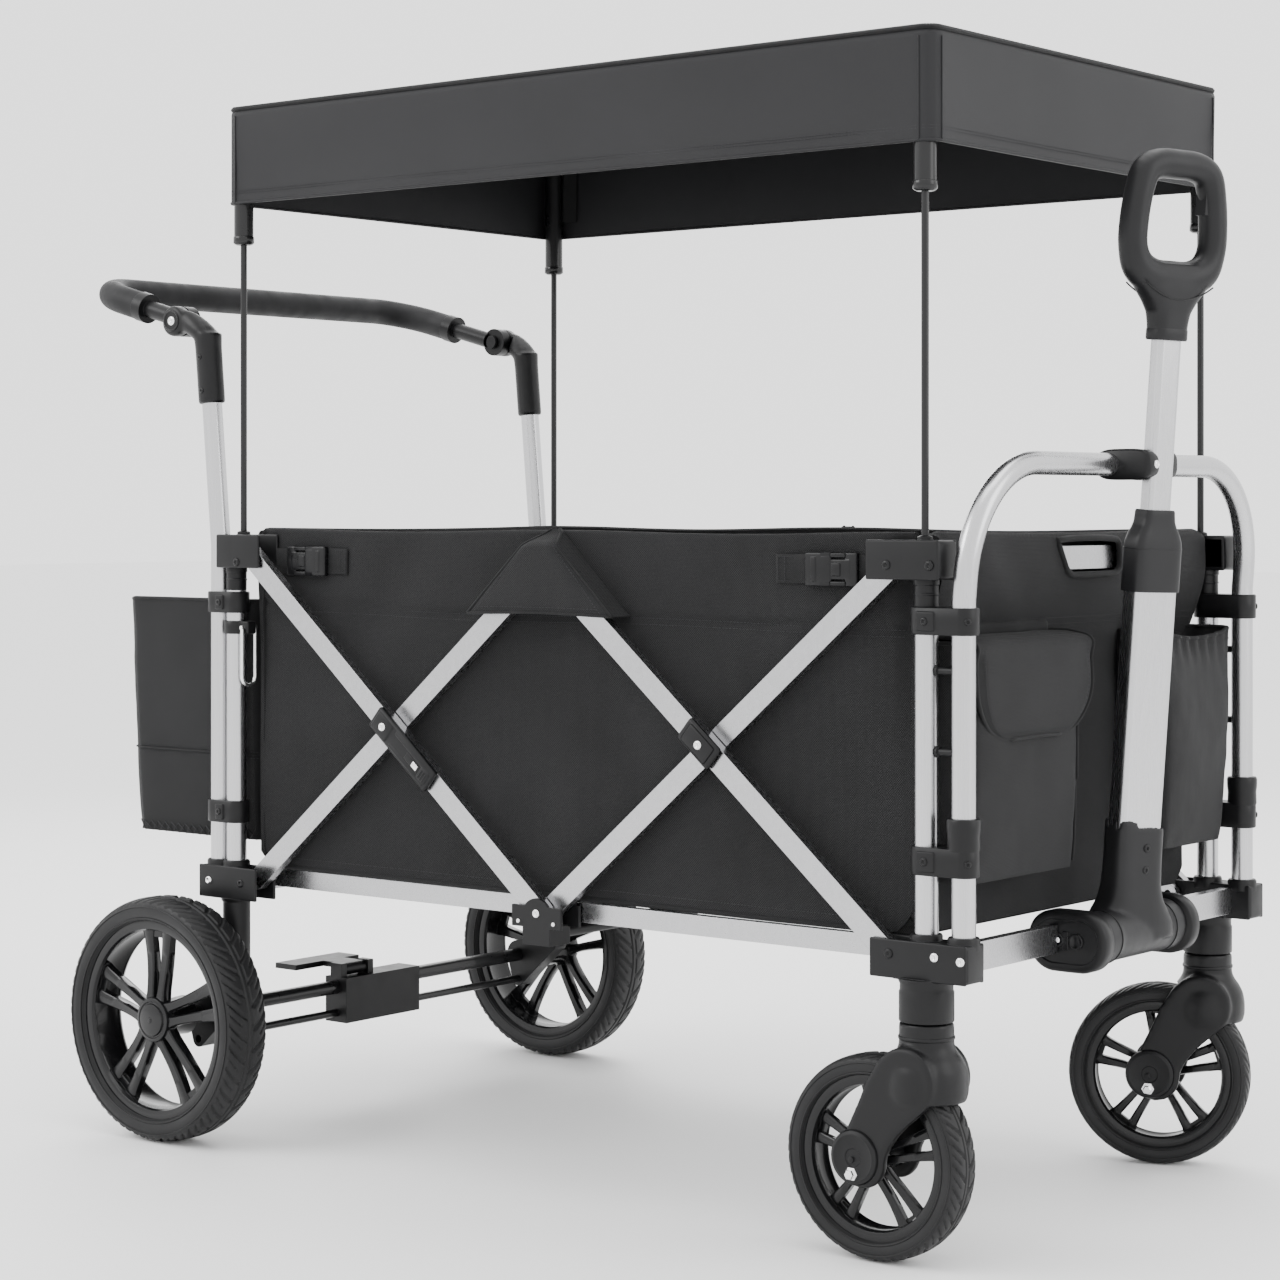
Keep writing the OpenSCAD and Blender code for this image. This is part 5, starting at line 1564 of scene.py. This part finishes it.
RIVETS = [
    ("front_top", 527, 721, 327.6, "screw"),
    ("front_top", 474, 721, PLATE_OUT, "screw"),
    ("rear_top", -486, 713, PLATE_OUT, "screw"),
    ("front_frame", 477, 322, PLATE_OUT, "screw"),
    ("front_frame", 533, 323, 326.8, "rivet"),
    ("front_frame", 564, 321, 326.6, "rivet"),
    ("root", -479, 318, PLATE_OUT, "screw"),
    ("root", -535, 318, 326.7, "rivet"),
    ("hub", 0, 322, PLATE_OUT, "rivet"),
    ("hub", 26, 312, PLATE_OUT, "small"),
    ("hub", -26, 312, PLATE_OUT, "small"),
]
FASTENERS = {
    "screw": ("buckle", "bracket_plastic", 5.2),
    "rivet": ("chrome", "bright_steel", 5.0),
    "small": ("chrome", "bright_steel", 2.6),
}


def fastener(kind, centre, axis, r):
    if kind == "screw":
        return screw(centre, axis, r, 1.8)
    head = [(r, -1), (r, 0.8), (r * 0.8, 1.8), (r * 0.5, 2.3), (r * 0.45, 1.4), (0, 1.3)]
    return lathe(head, centre, axis, 24)


def rivets():
    for kind, (material, slot, r) in FASTENERS.items():
        for body in sorted({row[0] for row in RIVETS}):
            rows = [row for row in RIVETS if row[0] == body and row[-1] == kind]
            parts = [fastener(kind, (x, s * y, z), (0, s, 0), r) for _, x, z, y, _ in rows for s in (-1, 1)]
            if parts:
                make(f"{kind}s_{body}", *merge(parts), material, body, slot)


rivets()


# Scissor crossings: a latch on the rear pair and a moulded block on the front pair

CROSSING_RIVET = [(5.2, -1), (5.2, 0.8), (4, 1.9), (2.4, 2.3), (2.2, 1.2), (0, 1.1)]


def on_bar(x0, z0, slope):
    return Matrix.Translation((x0, 0, z0)) @ Matrix.Rotation(slope, 4, "Y")


def crossings():
    half = math.hypot(470, 400) / 2
    latch, slot, bright, block, front_rivet = [], [], [], [], []
    for s in (-1, 1):
        place = on_bar(-PIVOT_X, PIVOT_TOP, SLOPE)

        def put(lo, hi, r, at=place):
            ys = sorted((s * lo[1], s * hi[1]))
            return turned(rounded((lo[0], ys[0], lo[2]), (hi[0], ys[1], hi[2]), r, 3), at)

        latch.append(put((half - 20, 321.6, -15), (half + 96, 329.6, 15), 3.4))
        latch.append(put((half - 16, 327, -12), (half + 14, 331.2, 12), 2.4))
        latch.append(put((half + 20, 327, -11.5), (half + 90, 330.6, -6.5), 1.4))
        latch.append(put((half + 20, 327, 6.5), (half + 90, 330.6, 11.5), 1.4))
        latch.append(put((half + 76, 327, -8), (half + 92, 331.4, 8), 2.0))
        for k in range(3):
            latch.append(put((half + 79 + 4 * k, 331, -6), (half + 80.6 + 4 * k, 332.2, 6), 0.5))
        slot.append(put((half + 48, 328.6, -5), (half + 74, 330.0, 5), 0.6))
        bright.append(put((half + 62, 329.4, -3.4), (half + 72, 331.0, 3.4), 0.7))
        c = place @ Vector((half, s * 331, 0))
        bright.append(lathe(CROSSING_RIVET, c, (0, s, 0), 24))
        front = on_bar(0, PIVOT_TOP, SLOPE)
        block.append(put((half - 32, 321.6, -15), (half + 22, 328.8, 15), 4.0, front))
        block.append(put((half - 26, 327, -11.5), (half + 16, 330.4, 11.5), 2.4, front))
        c = front @ Vector((half - 3, s * 330.4, 0))
        front_rivet.append(lathe(CROSSING_RIVET, c, (0, s, 0), 24))
    ob = sharp(make("latch_housing", *merge(latch), "bracket", "bars_rear_outer", "bracket_plastic"), 40)
    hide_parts("scissor_latch")
    make("latch_slot", *merge(slot), "buckle", "bars_rear_outer", "bracket_plastic")
    make("latch_tab_and_rivet", *merge(bright), "chrome", "bars_rear_outer", "bright_steel")
    sharp(make("crossing_block", *merge(block), "bracket", "bars_front_outer", "bracket_plastic"), 40)
    make("crossing_rivet", *merge(front_rivet), "chrome", "bars_front_outer", "bright_steel")


crossings()


# Push bar joints

def push_joints():
    rivet_parts, knobs = [], []
    lean = math.radians(5.2)
    run = 254.12
    base = (-END - 28, 0, 728)
    low = Vector((base[0] - 120 * (1 - math.cos(lean)), 0, base[2] + 120 * math.sin(lean)))
    up = Vector((-math.sin(lean), 0, math.cos(lean)))
    top = low + up * run
    joint = Vector((-END - 99, 0, 1015))
    for s in (-1, 1):
        shift = Vector((0, s * POST_Y, 0))
        rings = []
        for d, r in ((-82, 15.6), (-80.5, 16.5), (-40, 16.5), (-12, 16.6), (-2, 17.2), (6, 17.6)):
            c = low + up * (run + d) + shift
            rings.append([(c.x + r * math.cos(a), c.y + r * math.sin(a),
                           c.z + r * math.cos(a) * math.tan(lean))
                          for a in angles(40)])
        elbow = []
        start, end = top + shift, joint + Vector((0, s * 313.5, 0))
        for k in range(9):
            t = k / 8
            c = start.lerp(end, smooth_step(0, 1, t) * 0.35 + t * 0.65)
            c += Vector((0, 0, 7 * math.sin(math.pi * t)))
            rx, ry = 17.5 - 1.0 * t, 17.0 - 8.2 * smooth_step(0.15, 0.9, t)
            d = (end - start).normalized().lerp(up, 1 - t).normalized()
            side = Vector((0, 1, 0))
            other = d.cross(side)
            elbow.append([c + other * math.cos(a) * rx + side * math.sin(a) * ry for a in angles(32)])
        disc = lathe([(0, 305.2), (18.2, 305.2), (19.2, 306.6), (19.2, 319), (18, 321.4), (14, 322.2),
                      (0, 322.2)],
                     (joint.x, 0, joint.z), (0, s, 0), 44)
        parts = [loft(rings), loft(elbow), disc]
        guard = bracket_box(joint.x - 24, joint.x + 24, s * 280, s * 304.9, joint.z - 24, joint.z + 24, 2,
                            3)
        organic("push_joint_shell_" + ("right" if s < 0 else "left"), parts, [guard], 2.0, 4, "bracket",
                "root",
                ["push_bar_sockets"] if s < 0 else [])
        rivet_parts.append(lathe([(6, -1), (6, 0.8), (4.8, 2.0), (2.4, 2.3), (2.2, 1.4), (0, 1.3)],
                                 (joint.x, s * 322.0, joint.z), (0, s, 0), 26))
        ring = [(13.5, -1), (13.5, 0.7), (12.6, 1.2), (11.4, 1.0), (10.6, -0.4)]
        knobs.append(lathe(ring, (joint.x, s * 322.2, joint.z), (0, s, 0), 40))
        for d in (-24, -66):
            c = low + up * (run + d) + Vector((0, s * (POST_Y + 16.2), 0))
            knobs.append(screw(c, (0, s, 0), 3.4, 1.4))
    make("push_joint_rivets", *merge(rivet_parts), "chrome", "root", "bright_steel")
    make("push_joint_rings", *merge(knobs), "buckle", "root", "bracket_plastic")


push_joints()


# Rims of the canopy's corner sleeves

def sleeve_rims():
    for end, body in ((-1, "rear_top"), (1, "front_top")):
        parts = []
        for s in (-1, 1):
            c = (end * (END - 6), s * 297.5, 0)
            parts.append(lathe([(12.0, 1108), (12.9, 1108.6), (12.9, 1116), (12.2, 1117)],
                               c, (0, 0, 1), 32))
            parts.append(lathe([(4, 1106), (9, 1106), (11.6, 1107.4), (12, 1109)], c, (0, 0, 1), 32))
        make("canopy_sleeve_rims_" + body, *merge(parts), "pole", body, "black_metal")


sleeve_rims()


# Clip that holds the pull handle's stem to the U frame

def stem_clip():
    low, high = rel_box("handle_clip")
    cx, cz = (low[0] + high[0]) / 2, (low[2] + high[2]) / 2
    hx, hz = (high[0] - low[0]) / 2, (high[2] - low[2]) / 2
    rings = []
    span = high[1] - low[1]
    for f, g in ((0, 0.86), (0.02, 0.96), (0.06, 1.0), (0.3, 0.98), (0.42, 0.93), (0.5, 0.9),
                 (0.58, 0.93), (0.7, 0.98), (0.94, 1.0),
                 (0.98, 0.96), (1, 0.86)):
        y = low[1] + span * f
        rings.append([(cx + hx * g * signed_power(math.cos(a), 0.55), y,
                       cz + hz * g * signed_power(math.sin(a), 0.55))
                      for a in angles(48)])
    ob = sharp(make("stem_clip_band", *loft(rings), "bracket", "front_frame", "bracket_plastic"), 45)
    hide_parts("handle_clip")
    y = low[1] + span * 0.22
    rivet = lathe([(4.6, -2), (4.6, 0.8), (3.6, 1.8), (2, 2.1), (1.9, 1.2), (0, 1.1)], (high[0], y, cz),
                  (1, 0, 0), 24)
    make("stem_clip_rivet", *rivet, "chrome", "front_frame", "bright_steel")


stem_clip()
